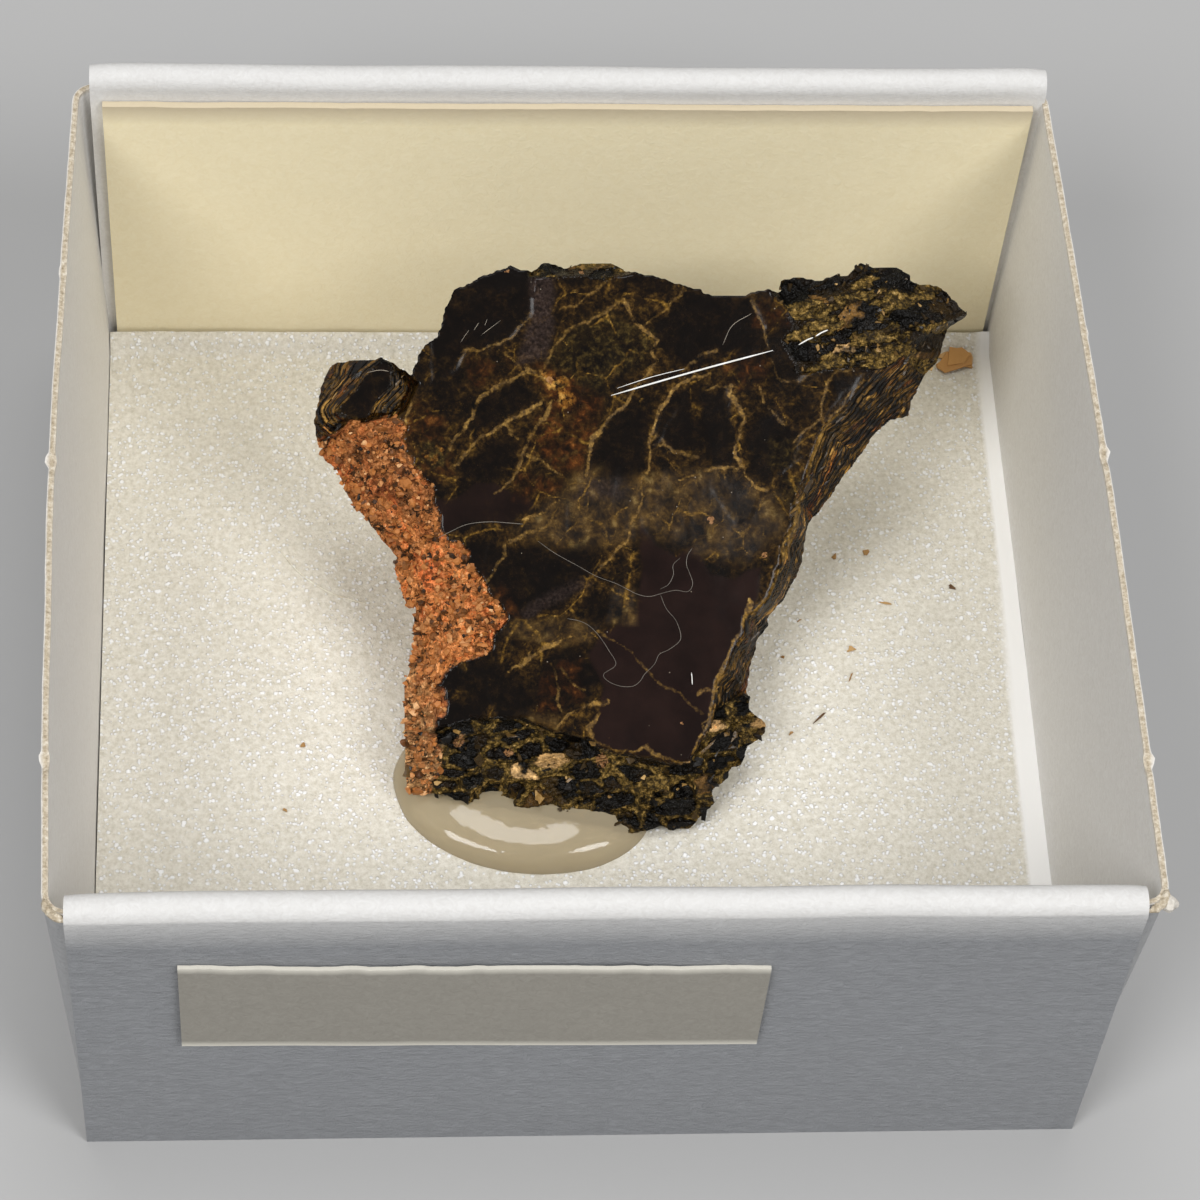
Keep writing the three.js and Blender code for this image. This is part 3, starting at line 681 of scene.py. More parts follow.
def soften_plates(made, values):
    """Shades the sheets as smooth, and leaves rock, rubble and frayed edges faceted."""
    coarse = np.maximum.reduce([values["rock"], values["rough"], values["frayed"]])
    smooth = [bool(coarse[list(polygon.vertices)].max() < 0.4) for polygon in made.data.polygons]
    made.data.polygons.foreach_set("use_smooth", smooth)


# ---------------------------------------------------------------- making objects


def add_mesh(name, points, polygons, attributes=None, smooth=False):
    """A mesh object from points in millimetres, with one layer of values for each attribute."""
    mesh = bpy.data.meshes.new(name)
    mesh.from_pydata((np.asarray(points, float) * MM).tolist(), [], [list(map(int, p)) for p in polygons])
    for key, values in (attributes or {}).items():
        layer = mesh.attributes.new(key, "FLOAT", "POINT")
        layer.data.foreach_set("value", np.asarray(values, np.float32))
    mesh.validate()
    mesh.update()
    if smooth:
        mesh.shade_smooth()
        mesh.set_sharp_from_angle(angle=math.radians(45))
    made = bpy.data.objects.new(name, mesh)
    bpy.context.scene.collection.objects.link(made)
    return made


def finish_piece(made, material, replaces=()):
    made.data.materials.clear()
    made.data.materials.append(material)
    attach(made, "root")
    if replaces:
        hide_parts(*replaces)
    return made


# ---------------------------------------------------------------- materials


def rgb(red, green, blue):
    """A colour given as 0 to 255 screen values, as the linear values the shader takes."""
    def linear(v):
        v /= 255
        return v / 12.92 if v <= 0.04045 else ((v + 0.055) / 1.055) ** 2.4
    return (linear(red), linear(green), linear(blue), 1)


class Shader:
    """A material with one Principled shader, and short ways to add the nodes that feed it."""

    SOCKETS = {"color": "Base Color", "rough": "Roughness", "ior": "IOR", "normal": "Normal",
               "clear": "Transmission Weight", "specular": "Specular IOR Level"}
    FINEST = 32  # features in a millimetre: finer ones are lost in a render, and only cost time

    def __init__(self, name):
        self.material = bpy.data.materials.new(name)
        self.material.use_nodes = True
        self.tree = self.material.node_tree
        self.surface = self.tree.nodes["Principled BSDF"]
        self.place = self.tree.nodes.new("ShaderNodeTexCoord").outputs["Object"]

    def node(self, kind, **settings):
        made = self.tree.nodes.new(kind)
        for key, value in settings.items():
            setattr(made, key, value)
        return made

    def put(self, socket, value):
        if isinstance(value, bpy.types.NodeSocket):
            self.tree.links.new(value, socket)
        else:
            socket.default_value = value

    def set(self, **inputs):
        for key, value in inputs.items():
            self.put(self.surface.inputs[self.SOCKETS[key]], value)
        return self.material

    def mask(self, name):
        return self.node("ShaderNodeAttribute", attribute_name=name).outputs["Fac"]

    def math(self, operation, first, second=0.0, clamp=False):
        made = self.node("ShaderNodeMath", operation=operation, use_clamp=clamp)
        self.put(made.inputs[0], first)
        self.put(made.inputs[1], second)
        return made.outputs[0]

    def times(self, *values):
        return reduce(lambda total, value: self.math("MULTIPLY", total, value), values)

    def most(self, *values):
        return reduce(lambda total, value: self.math("MAXIMUM", total, value), values)

    def plus(self, *values):
        return reduce(lambda total, value: self.math("ADD", total, value), values)

    def other(self, value):
        return self.math("SUBTRACT", 1.0, value, clamp=True)

    def mix(self, factor, first, second, blend="MIX"):
        made = self.node("ShaderNodeMix", data_type="RGBA", blend_type=blend)
        self.put(made.inputs["Factor"], factor)
        self.put(made.inputs[6], first)
        self.put(made.inputs[7], second)
        return made.outputs[2]

    def tinted(self, color, tint, share=1.0):
        return self.mix(share, color, tint, "MULTIPLY")

    def ramp(self, factor, *stops, steps=False):
        """Each stop is its place and a colour, as a value, as red, green and blue from 0 to 255, or ready."""
        made = self.node("ShaderNodeValToRGB")
        if steps:
            made.color_ramp.interpolation = "CONSTANT"
        while len(made.color_ramp.elements) < len(stops):
            made.color_ramp.elements.new(0.5)
        for element, (at, *color) in zip(made.color_ramp.elements, stops):
            element.position = at
            if len(color) == 3:
                element.color = rgb(*color)
            else:
                element.color = color[0] if isinstance(color[0], tuple) else (*color * 3, 1)
        self.put(made.inputs[0], factor)
        return made.outputs["Color"]

    def step(self, value, low, high):
        made = self.node("ShaderNodeMapRange", interpolation_type="SMOOTHSTEP")
        self.put(made.inputs["Value"], value)
        made.inputs["From Min"].default_value = low
        made.inputs["From Max"].default_value = high
        return made.outputs[0]

    def fall(self, value, low, high):
        """1 below low and 0 above high."""
        return self.other(self.step(value, low, high))

    def stretched(self, scale):
        made = self.node("ShaderNodeMapping")
        self.put(made.inputs["Vector"], self.place)
        made.inputs["Scale"].default_value = scale
        return made.outputs[0]

    def noise(self, per_mm, detail=4.0, rough=0.55, source=None, warp=0.0, output="Fac"):
        """Noise with per_mm features in a millimetre, or per unit of another source."""
        shown = detail
        if source is None and output == "Fac":
            shown = min(detail, int(math.log2(self.FINEST / per_mm)))
        made = self.node("ShaderNodeTexNoise")
        self.put(made.inputs["Vector"], source or self.place)
        made.inputs["Scale"].default_value = per_mm / MM if source is None else per_mm
        made.inputs["Detail"].default_value = shown
        made.inputs["Roughness"].default_value = rough
        made.inputs["Distortion"].default_value = warp
        if shown == detail:
            return made.outputs[output]
        # without its finest octaves the noise has more contrast: this takes the same amount out again
        kept = sum(rough**octave for octave in range(shown + 1))
        share = kept / sum(rough**octave for octave in range(detail + 1))
        return self.plus(self.times(made.outputs[output], share), 0.5 - 0.5 * share)

    def ragged(self, reach, *noise):
        """Noise about zero, which makes the edge of a mask ragged."""
        return self.times(self.math("SUBTRACT", self.noise(*noise), 0.5), reach)

    def wandering(self, per_mm, reach_mm):
        """The object's own place, pushed about by noise: cells laid on it lose their straight sides."""
        push = self.noise(per_mm, 3, 0.6, output="Color")
        moved = self.node("ShaderNodeVectorMath", operation="MULTIPLY_ADD")
        self.put(moved.inputs[0], push)
        moved.inputs[1].default_value = (reach_mm * MM,) * 3
        self.put(moved.inputs[2], self.place)
        return moved.outputs[0]

    def cells(self, per_mm, source, feature="F1", output="Distance"):
        made = self.node("ShaderNodeTexVoronoi", feature=feature)
        self.put(made.inputs["Vector"], source)
        made.inputs["Scale"].default_value = per_mm / MM
        return made.outputs[output]

    def bump(self, height, distance_mm):
        made = self.node("ShaderNodeBump")
        made.inputs["Strength"].default_value = 1.0
        made.inputs["Distance"].default_value = distance_mm * MM
        self.put(made.inputs["Height"], height)
        return made.outputs["Normal"]

    def vector(self, x, y, z=0.0):
        made = self.node("ShaderNodeCombineXYZ")
        for socket, value in zip(made.inputs, (x, y, z)):
            self.put(socket, value)
        return made.outputs[0]

    def height(self):
        made = self.node("ShaderNodeSeparateXYZ")
        self.put(made.inputs[0], self.place)
        return self.times(made.outputs["Z"], 1 / MM)


def sheet_color(s, medium, fine, broad):
    """The flat sheets: nearly black, with brown smoke, a painted amber glow, olive moss, pale haze and grey
    dust.
    """
    smoke, haze, grey = s.mask("smoke"), s.mask("haze"), s.mask("grey")
    amber, olive, brown = s.mask("amber"), s.mask("olive"), s.mask("brown")
    open_part = s.other(s.times(s.mask("clean"), 0.85))
    color = s.ramp(medium, (0.3, 9, 6, 5), (0.55, 14, 9, 7), (0.72, 28, 18, 10))
    smoky = s.ramp(s.noise(4.0, 7, 0.68, warp=0.3), (0.34, 16, 10, 5), (0.47, 40, 27, 11),
                   (0.57, 76, 54, 22), (0.7, 130, 98, 46))
    beside_crack = s.times(s.fall(s.mask("crack"), 0.0, 0.45), s.step(s.noise(0.9, 4, 0.6), 0.44, 0.54))
    patches = s.step(broad, 0.54, 0.66)
    spread = s.most(s.times(smoke, 1.15), s.times(beside_crack, 0.7), s.times(patches, 0.45))
    smoky_here = s.times(spread, s.step(medium, 0.26, 0.54), open_part)
    color = s.mix(smoky_here, color, smoky)
    color = s.mix(brown, color, s.ramp(broad, (0.35, 24, 14, 12), (0.65, 35, 22, 19)))
    # painted glow: orange light shining through the thin sheets, put in as colour
    painted_glow = s.ramp(medium, (0.32, 16, 8, 4), (0.5, 40, 21, 8), (0.62, 84, 46, 17),
                  (0.72, 146, 90, 40))
    painted_glow_here = s.times(amber, s.step(s.noise(1.1, 5, 0.6, warp=0.6), 0.3, 0.6))
    color = s.mix(painted_glow_here, color, painted_glow)
    # painted ember: the brightest patch of that glow, also put in as colour
    painted_ember = s.ramp(s.noise(2.5, 5, 0.65), (0.36, 92, 58, 20), (0.5, 156, 104, 40), (0.64, 218, 166, 84))
    painted_ember_here = s.times(s.step(amber, 0.9, 1.5), s.step(s.noise(3.0, 5, 0.7), 0.42, 0.6))
    color = s.mix(s.times(painted_ember_here, 0.8), color, painted_ember)
    mossy = s.ramp(s.noise(4.4, 7, 0.74), (0.38, 13, 10, 6), (0.5, 34, 26, 12),
                   (0.6, 70, 56, 26), (0.72, 122, 102, 52))
    moss_here = s.times(olive, s.step(medium, 0.32, 0.56))
    color = s.mix(moss_here, color, mossy)
    cloud = s.ramp(s.noise(1.5, 7, 0.66, warp=0.3), (0.36, 22, 14, 6), (0.47, 50, 35, 15),
                   (0.58, 90, 67, 31), (0.7, 146, 120, 70))
    haze_here = s.times(haze, s.step(s.noise(0.8, 5, 0.6, warp=0.4), 0.34, 0.58))
    color = s.mix(haze_here, color, cloud)
    ashen = s.ramp(fine, (0.34, 28, 21, 19), (0.5, 54, 42, 38), (0.7, 84, 70, 64))
    return s.mix(s.times(grey, s.step(medium, 0.25, 0.5)), color, ashen), smoky_here, haze_here


def vein_color(s, color, smoky_here, haze_here):
    """Golden clay in the cracks: the main veins, and finer ones where the sheet is smoky or hazy."""
    open_part = s.other(s.mask("clean"))
    ragged = s.ragged(0.22, 6, 4, 0.65)
    main = s.fall(s.plus(s.mask("vein"), ragged), -0.01, 0.07)
    main = s.times(main, s.mask("power"), s.step(s.noise(2.2, 5, 0.7), 0.3, 0.56))
    narrow = s.ragged(0.12, 7, 4, 0.65)
    branch = s.fall(s.plus(s.mask("crack"), narrow), -0.005, 0.05)
    branch = s.times(branch, s.step(s.noise(0.9, 4, 0.6), 0.46, 0.56))
    threads = s.fall(s.plus(s.mask("web"), narrow), -0.005, 0.04)
    threads = s.times(threads, s.most(smoky_here, haze_here), s.step(s.noise(1.6, 4, 0.6), 0.47, 0.57))
    fine = s.times(s.most(s.times(branch, 0.85), s.times(threads, 0.6)), open_part)
    clay = s.ramp(s.noise(5, 5, 0.7), (0.3, 54, 38, 12), (0.45, 100, 73, 26), (0.58, 148, 112, 46),
                  (0.72, 208, 170, 94))
    color = s.mix(fine, color, clay)
    return s.mix(main, color, clay), main, clay


def frayed_color(s):
    """Streaks that run along the edges of the sheets, with a golden crust in places."""
    across, along = s.mask("across"), s.mask("along")
    source = s.vector(s.times(across, 2.6), s.times(along, 0.26))
    streak = s.noise(1.0, 6, 0.62, source=source, warp=0.14)
    band = s.noise(1.0, 4, 0.6, source=s.vector(s.times(across, 1.3), s.times(along, 0.2)))
    sheets = s.ramp(streak, (0.3, 12, 9, 6), (0.42, 30, 22, 10), (0.46, 126, 94, 42),
                    (0.49, 20, 14, 8), (0.55, 14, 10, 6), (0.58, 118, 86, 38),
                    (0.61, 206, 162, 90), (0.64, 36, 26, 12), (0.72, 20, 14, 8),
                    (0.76, 140, 104, 52))
    crust = s.ramp(s.noise(4.2, 8, 0.8, warp=0.15), (0.35, 18, 14, 9), (0.43, 66, 50, 26),
                   (0.47, 118, 94, 52), (0.5, 26, 20, 13), (0.55, 58, 46, 26),
                   (0.6, 152, 124, 76), (0.64, 70, 56, 34), (0.7, 220, 194, 146))
    crusted = s.times(s.step(band, 0.52, 0.58), s.step(s.noise(1.6, 6, 0.72), 0.44, 0.53))
    sheets = s.mix(s.times(crusted, 0.85), sheets, crust)
    tinge = s.ramp(band, (0.36, 255, 190, 140), (0.44, 255, 248, 230), (0.56, 236, 230, 190),
                   (0.62, 255, 176, 120))
    mottle = s.ramp(s.noise(3.0, 6, 0.74), (0.43, 0.12), (0.55, 1.0))
    return s.tinted(s.tinted(sheets, tinge), mottle), streak


def rubble_color(s, close_wandering):
    """Blocks of black sheet, each a little different, with golden and cream crumbs in the seams."""
    block = s.mask("block")
    lump = s.ramp(block, (0.0, 10, 8, 6), (0.4, 17, 12, 8), (0.55, 36, 26, 12),
                  (0.6, 12, 9, 7), (0.74, 64, 48, 22), (0.79, 18, 13, 8),
                  (0.9, 126, 92, 46), (0.97, 206, 166, 112))
    grit = s.ramp(s.noise(5, 7, 0.75), (0.34, 0.5), (0.52, 1.0), (0.64, 1.9), (0.74, 3.0))
    lump = s.tinted(lump, grit)
    lump = s.mix(s.step(s.noise(0.55, 4, 0.6), 0.47, 0.55), lump, rgb(10, 8, 6))
    crumb = s.ramp(s.noise(4, 7, 0.8), (0.36, 16, 12, 7), (0.47, 58, 45, 19), (0.55, 118, 94, 44),
                   (0.63, 180, 146, 84), (0.72, 240, 214, 168))
    ragged = s.ragged(0.42, 3.0, 6, 0.75)
    seam = s.fall(s.plus(s.mask("vein"), ragged), 0.0, 0.08)
    gap = s.cells(3.2, close_wandering, "DISTANCE_TO_EDGE")
    return s.mix(seam, lump, crumb), s.plus(seam, gap)


def rock_color(s, close_wandering):
    """Orange rock in clumps of grains, paler and pinker low down, with dark specks between."""
    clump = s.noise(3.6, 8, 0.84, warp=0.2)
    orange = s.ramp(clump, (0.33, 74, 44, 20), (0.42, 146, 90, 44), (0.5, 190, 124, 70),
                    (0.58, 222, 154, 98), (0.7, 248, 206, 152))
    pale = s.ramp(clump, (0.33, 66, 50, 30), (0.43, 140, 106, 66), (0.52, 184, 142, 96),
                  (0.6, 218, 180, 130), (0.7, 242, 210, 168))
    low_down = s.fall(s.height(), 5.4, 7.6)
    color = s.mix(low_down, orange, pale)
    grain = s.cells(3.4, close_wandering, output="Color")
    tint = s.ramp(grain, (0.0, 150, 140, 130), (0.3, 255, 245, 235), (0.5, 215, 190, 175),
                  (0.7, 255, 215, 190), (0.85, 190, 170, 150), steps=True)
    color = s.tinted(color, tint, 0.7)
    color = s.tinted(color, s.ramp(s.noise(0.9, 5, 0.7), (0.38, 0.55), (0.58, 1.55)))
    color = s.mix(s.times(s.step(s.height(), 9.6, 11.4), 0.4), color, rgb(40, 24, 12))
    pink = s.step(s.noise(0.5, 4, 0.6), 0.5, 0.62)
    color = s.mix(s.times(pink, 0.5), color, s.tinted(color, rgb(255, 196, 190)))
    speck = s.step(s.noise(1.5, 8, 0.82), 0.535, 0.575)
    return s.mix(s.times(speck, 0.92), color, s.ramp(grain, (0.3, 22, 16, 10), (0.8, 58, 42, 22))), clump


def mica_material():
    s = Shader("dark_mica")
    rock, frayed, rough, haze = s.mask("rock"), s.mask("frayed"), s.mask("rough"), s.mask("haze")
    fine, medium, broad = s.noise(8, 5, 0.65), s.noise(2.2, 6, 0.62, warp=0.3), s.noise(0.6, 4, 0.55)
    close_wandering = s.wandering(4.0, 0.28)
    color, smoky_here, haze_here = sheet_color(s, medium, fine, broad)
    color, veins, clay = vein_color(s, color, smoky_here, haze_here)
    sheets, streak = frayed_color(s)
    rubble, gap = rubble_color(s, close_wandering)
    orange, clump = rock_color(s, close_wandering)
    color = s.mix(frayed, color, s.mix(s.times(veins, 0.9), sheets, clay))
    color = s.mix(rough, color, rubble)
    color = s.mix(rock, color, orange)
    torn = s.ragged(3.0, 9, 5, 0.8)
    # painted glints: small bright spots put in as colour, some of them pale fragments
    glint = s.step(s.plus(s.mask("glint"), torn), 0.75, 0.95)
    color = s.mix(s.times(glint, 0.8), color, s.ramp(fine, (0.35, 104, 66, 36), (0.6, 178, 132, 88)))

    # dust on the flat sheets
    bare = s.other(s.most(rock, rough, frayed))
    mote = s.times(s.fall(s.cells(1.5, s.place), 0.02, 0.045), bare)
    color = s.mix(s.times(mote, 0.6), color, rgb(190, 176, 156))

    dull = s.most(s.times(rock, 0.6), s.times(veins, 0.35), s.times(rough, s.plus(0.1, s.times(gap, 0.35))),
                  s.times(frayed, 0.4), s.times(haze, 0.14))
    s.set(color=color, rough=s.plus(0.09, dull, s.times(fine, 0.07)), ior=1.4, specular=0.24)
    relief = s.times(s.noise(7, 5, 0.7), s.most(rock, rough, s.times(frayed, 0.5), 0.02))
    relief = s.plus(relief, s.times(streak, frayed, 0.7), s.times(gap, rough, 1.5), s.times(clump, rock, 2.2))
    return s.set(normal=s.bump(relief, 0.1))


def crumb_material(name, rough, *stops):
    """Chips and grains: each has its own tone, broken up a little by noise."""
    s = Shader(name)
    tone = s.plus(s.mask("tone"), s.ragged(0.25, 5, 4, 0.6))
    color = s.ramp(tone, *stops)
    s.set(color=color, rough=rough, ior=1.5, specular=0.3)
    return s.set(normal=s.bump(s.noise(9, 4, 0.6), 0.02))


def fibre_material(name, color):
    s = Shader(name)
    bright = tuple(min(1.0, 1.6 * part) for part in color)
    return s.set(color=s.ramp(s.noise(2, 3, 0.5), (0.35, color), (0.65, bright)), rough=0.35)


def card_material():
    """Coated card: white inside, painted shade grey-blue on its outer faces, and with a torn tan core where it
    is cut.
    """
    s = Shader("white_card")
    raw = s.mask("raw")
    fibre = s.noise(2.5, 5, 0.6, warp=2.0)
    white = s.ramp(fibre, (0.3, 222, 220, 217), (0.7, 234, 233, 231))
    # painted shade: the outer faces are coloured grey-blue for the shade they stand in
    face = s.mix(s.mask("outer"), white, rgb(152, 154, 158))
    core = s.ramp(s.noise(5, 5, 0.7), (0.3, 150, 134, 110), (0.5, 196, 182, 158), (0.7, 232, 224, 208))
    s.set(color=s.mix(raw, face, core), rough=0.62)
    streaks = s.noise(1.0, 5, 0.72, source=s.stretched((1700, 1700, 3800)), warp=2.0)
    relief = s.plus(s.times(streaks, s.plus(0.06, s.mask("outer"))), s.times(raw, s.noise(7, 4, 0.7)))
    return s.set(normal=s.bump(relief, 0.12))


def paper_material(name, light, dark, edge):
    s = Shader(name)
    pulp = s.noise(3.2, 6, 0.65, warp=1.0)
    face = s.ramp(pulp, (0.32, dark), (0.68, light))
    s.set(color=s.mix(s.mask("raw"), face, edge), rough=0.7)
    return s.set(normal=s.bump(s.plus(pulp, s.noise(0.5, 3, 0.5)), 0.03))


def foam_material():
    """Off-white foam full of glitter, its glints painted as white flecks, and the bare white strip along its
    right side.
    """
    s = Shader("glitter_foam")
    place = s.wandering(3.0, 0.2)
    strip = s.mask("strip")
    ground = s.ramp(s.noise(4.5, 6, 0.75), (0.36, 208, 202, 186), (0.5, 225, 220, 207),
                    (0.64, 239, 235, 224))
    # painted glints: white flecks where the foam's glitter catches the light; their lower roughness and bump
    # are real relief
    painted_glints = []
    for per_mm, size, share in ((1.6, 0.21, 0.42), (2.6, 0.3, 0.44), (4.6, 0.42, 0.45)):
        dot = s.fall(s.cells(per_mm, place), size * 0.5, size)
        chosen = s.step(s.cells(per_mm, place, output="Color"), share, share + 0.02)
        painted_glints.append(s.times(dot, chosen))
    painted_glint = s.times(s.most(*painted_glints), s.other(strip))
    color = s.mix(painted_glint, ground, rgb(255, 255, 255))
    s.set(color=s.mix(strip, color, rgb(250, 249, 247)), rough=s.plus(0.62, s.times(painted_glint, -0.35)))
    relief = s.plus(s.noise(4.0, 4, 0.7), s.times(painted_glint, 0.5))
    return s.set(normal=s.bump(s.times(relief, s.other(strip)), 0.07))


def glue_material():
    """Clear glue, a touch creamy."""
    s = Shader("clear_glue")
    s.set(color=rgb(222, 205, 170), clear=0.58, rough=0.06, ior=1.47)
    return s.set(normal=s.bump(s.noise(0.5, 3, 0.5), 0.06))


# ---------------------------------------------------------------- chips, grains, fibres and crumbs


def loft(rings):
    """Points and faces of a solid swept through rings of equal count, each ring a closed section."""
    rings = [np.asarray(ring, float) for ring in rings]
    count = len(rings[0])
    faces = []
    for k in range(len(rings) - 1):
        low, high = k * count, (k + 1) * count
        for i in range(count):
            j = (i + 1) % count
            faces.append((low + i, low + j, high + j, high + i))
    faces.append(tuple(range(count - 1, -1, -1)))
    last = (len(rings) - 1) * count
    faces.append(tuple(range(last, last + count)))
    return np.vstack(rings), faces


def gather(solids, *names):
    """Joins solids into one mesh. Each is its points, its faces, and a value or values for every name."""
    points, faces, values, start = [], [], [[] for _ in names], 0
    for solid_points, solid_faces, *solid_values in solids:
        points.append(solid_points)
        faces += [tuple(i + start for i in face) for face in solid_faces]
        for found, value in zip(values, solid_values):
            found.append(np.broadcast_to(value, (len(solid_points),)))
        start += len(solid_points)
    return np.vstack(points), faces, {name: np.concatenate(found) for name, found in zip(names, values)}


def chip(rng, centre, size, thickness, across, up, out):
    """An irregular thin plate with 5 to 7 corners."""
    corners = rng.integers(5, 8)
    turn = np.sort(rng.uniform(0, 2 * math.pi, corners)) + rng.uniform(0, 1)
    reach = size * rng.uniform(0.55, 1.0, corners)
    narrow = rng.uniform(0.45, 0.9)
    flat = np.outer(np.cos(turn) * reach, across) + np.outer(np.sin(turn) * reach * narrow, up)
    wedge = np.outer(rng.uniform(0.4, 1.0, corners) * thickness, out)
    return loft([centre + flat, centre + flat * 0.94 + wedge])


def angular_grain(rng, centre, size):
    """An angular grain: four rings of five corners, squashed along random axes and turned anyhow."""
    rings = []
    squash = rng.uniform(0.4, 1.6, 3)
    for height, width in ((-0.7, 0.5), (-0.15, 1.0), (0.3, 0.95), (0.75, 0.4)):
        turn = np.arange(5) * math.tau / 5 + rng.uniform(-0.45, 0.45, 5)
        reach = size * width * rng.uniform(0.6, 1.2, 5)
        ring = np.column_stack([np.cos(turn) * reach, np.sin(turn) * reach, np.full(5, height * size)])
        rings.append(ring * squash)
    points, faces = loft(rings)
    spin = Matrix.Rotation(rng.uniform(0, 6.28), 3, "X") @ Matrix.Rotation(rng.uniform(0, 6.28), 3, "Z")
    return points @ np.array(spin).T + centre, faces


def picked_spots(rng, count, low, high, choose):
    """Random places on the face, with their height: the more there, the larger choose(face) is."""
    found, total, tries = [], 0, 4000
    while total < count:
        a, b = rng.uniform(low[0], high[0], tries), rng.uniform(low[1], high[1], tries)
        face = Face(a, b)
        inside = contains(a, b, BOOK) & (choose(face) > rng.uniform(0, 1, tries))
        found.append(np.column_stack([a, b, face.height])[inside])
        total += inside.sum()
    return np.vstack(found)[:count]


def tipped_axes(rng, lean, along=None):
    """Axes of a chip that lies near the face, leaning up to `lean` radians any way."""
    turn = rng.uniform(0, 2 * math.pi) if along is None else along
    out = FACE_C + lean * (rng.uniform(-1, 1) * FACE_A + rng.uniform(-1, 1) * FACE_B)
    out /= np.linalg.norm(out)
    across = math.cos(turn) * FACE_A + math.sin(turn) * FACE_B
    across -= out * (across @ out)
    across /= np.linalg.norm(across)
    return across, np.cross(out, across), out


# number of chips, the size of the largest, and the two corners of the area they lie in
CHIP_AREAS = ((130, 0.34, (-8, -1.2), (8.5, 5)), (150, 0.2, (-3, 17.5), (16.6, 23)))
FRAYED_CHIPS = 80
FRAYED_HEADING = (52, 8)  # mean and spread in degrees
BOOK_LOW, BOOK_HIGH = (-11, -1.2), (16.6, 23)
ROCK_GRAINS = 1300


def well_inside_frayed(face):
    return face.masks["frayed"] * (face.edge > 0.3)


def mica_chips():
    """Splinters of sheet that stand up from the foot, the wing, the crest and the frayed side."""
    rng = np.random.default_rng(201)
    solids = []
    for count, largest, low, high in CHIP_AREAS:
        spots = picked_spots(rng, count, low, high, lambda face: face.masks["rough"])
        for a, b, c in spots:
            centre = to_tray([a], [b], [c + rng.uniform(-0.08, 0.06)])[0]
            axes = tipped_axes(rng, 0.8)
            size = 0.08 + largest * rng.uniform() ** 2
            tone = rng.uniform()
            solids.append((*chip(rng, centre, size, rng.uniform(0.03, 0.12), *axes), tone))
    for a, b, c in picked_spots(rng, FRAYED_CHIPS, BOOK_LOW, BOOK_HIGH, well_inside_frayed):
        centre = to_tray([a], [b], [c + rng.uniform(-0.06, 0.04)])[0]
        across, up, out = tipped_axes(rng, 0.25, along=math.radians(rng.normal(*FRAYED_HEADING)))
        size, thickness = rng.uniform(0.15, 0.6), rng.uniform(0.03, 0.06)
        solids.append((*chip(rng, centre, size, thickness, across, 0.3 * up, out), rng.uniform(0.2, 0.95)))
    points, faces, tones = gather(solids, "tone")
    points[:, 2] = np.maximum(points[:, 2], PAD_TOP)
    return points, faces, tones


def rock_grains():
    rng = np.random.default_rng(211)
    solids = []
    spots = picked_spots(rng, ROCK_GRAINS, (-11, 0), (-2.8, 16.4), lambda face: face.masks["rock"])
    for a, b, c in spots:
        centre = to_tray([a], [b], [c - 0.02])[0]
        size = 0.05 + 0.14 * rng.uniform() ** 2
        solids.append((*angular_grain(rng, centre, size), rng.uniform()))
    return gather(solids, "tone")


def curve_through(course, steps=8):
    """A smooth line through given points (Catmull-Rom)."""
    p = np.array(course, float)
    p = np.vstack([2 * p[0] - p[1], p, 2 * p[-1] - p[-2]])
    t = np.linspace(0, 1, steps, endpoint=False)[:, None]
    line = []
    for k in range(1, len(p) - 2):
        a, b, c, d = p[k - 1], p[k], p[k + 1], p[k + 2]
        square, cube = 2 * a - 5 * b + 4 * c - d, 3 * b - 3 * c + d - a
        line.append(0.5 * (2 * b + (c - a) * t + square * t**2 + cube * t**3))
    return np.vstack([*line, p[-2][None]])


def tube(line, radius, sides=6):
    """A round solid along a line, tapering at both ends."""
    line = np.asarray(line, float)
    along = np.gradient(line, axis=0)
    along /= np.linalg.norm(along, axis=1)[:, None]
    side = np.cross(along, [0.12, 0.2, 0.97])
    side /= np.linalg.norm(side, axis=1)[:, None]
    up = np.cross(side, along)
    taper = np.minimum(1, np.minimum(np.arange(len(line)), np.arange(len(line))[::-1]) * 0.25 + 0.35)
    rings = []
    for centre, s, u, share in zip(line, side, up, taper):
        turn = np.arange(sides) * 2 * math.pi / sides
        rings.append(centre + radius * share * (np.outer(np.cos(turn), s) + np.outer(np.sin(turn), u)))
    return loft(rings)


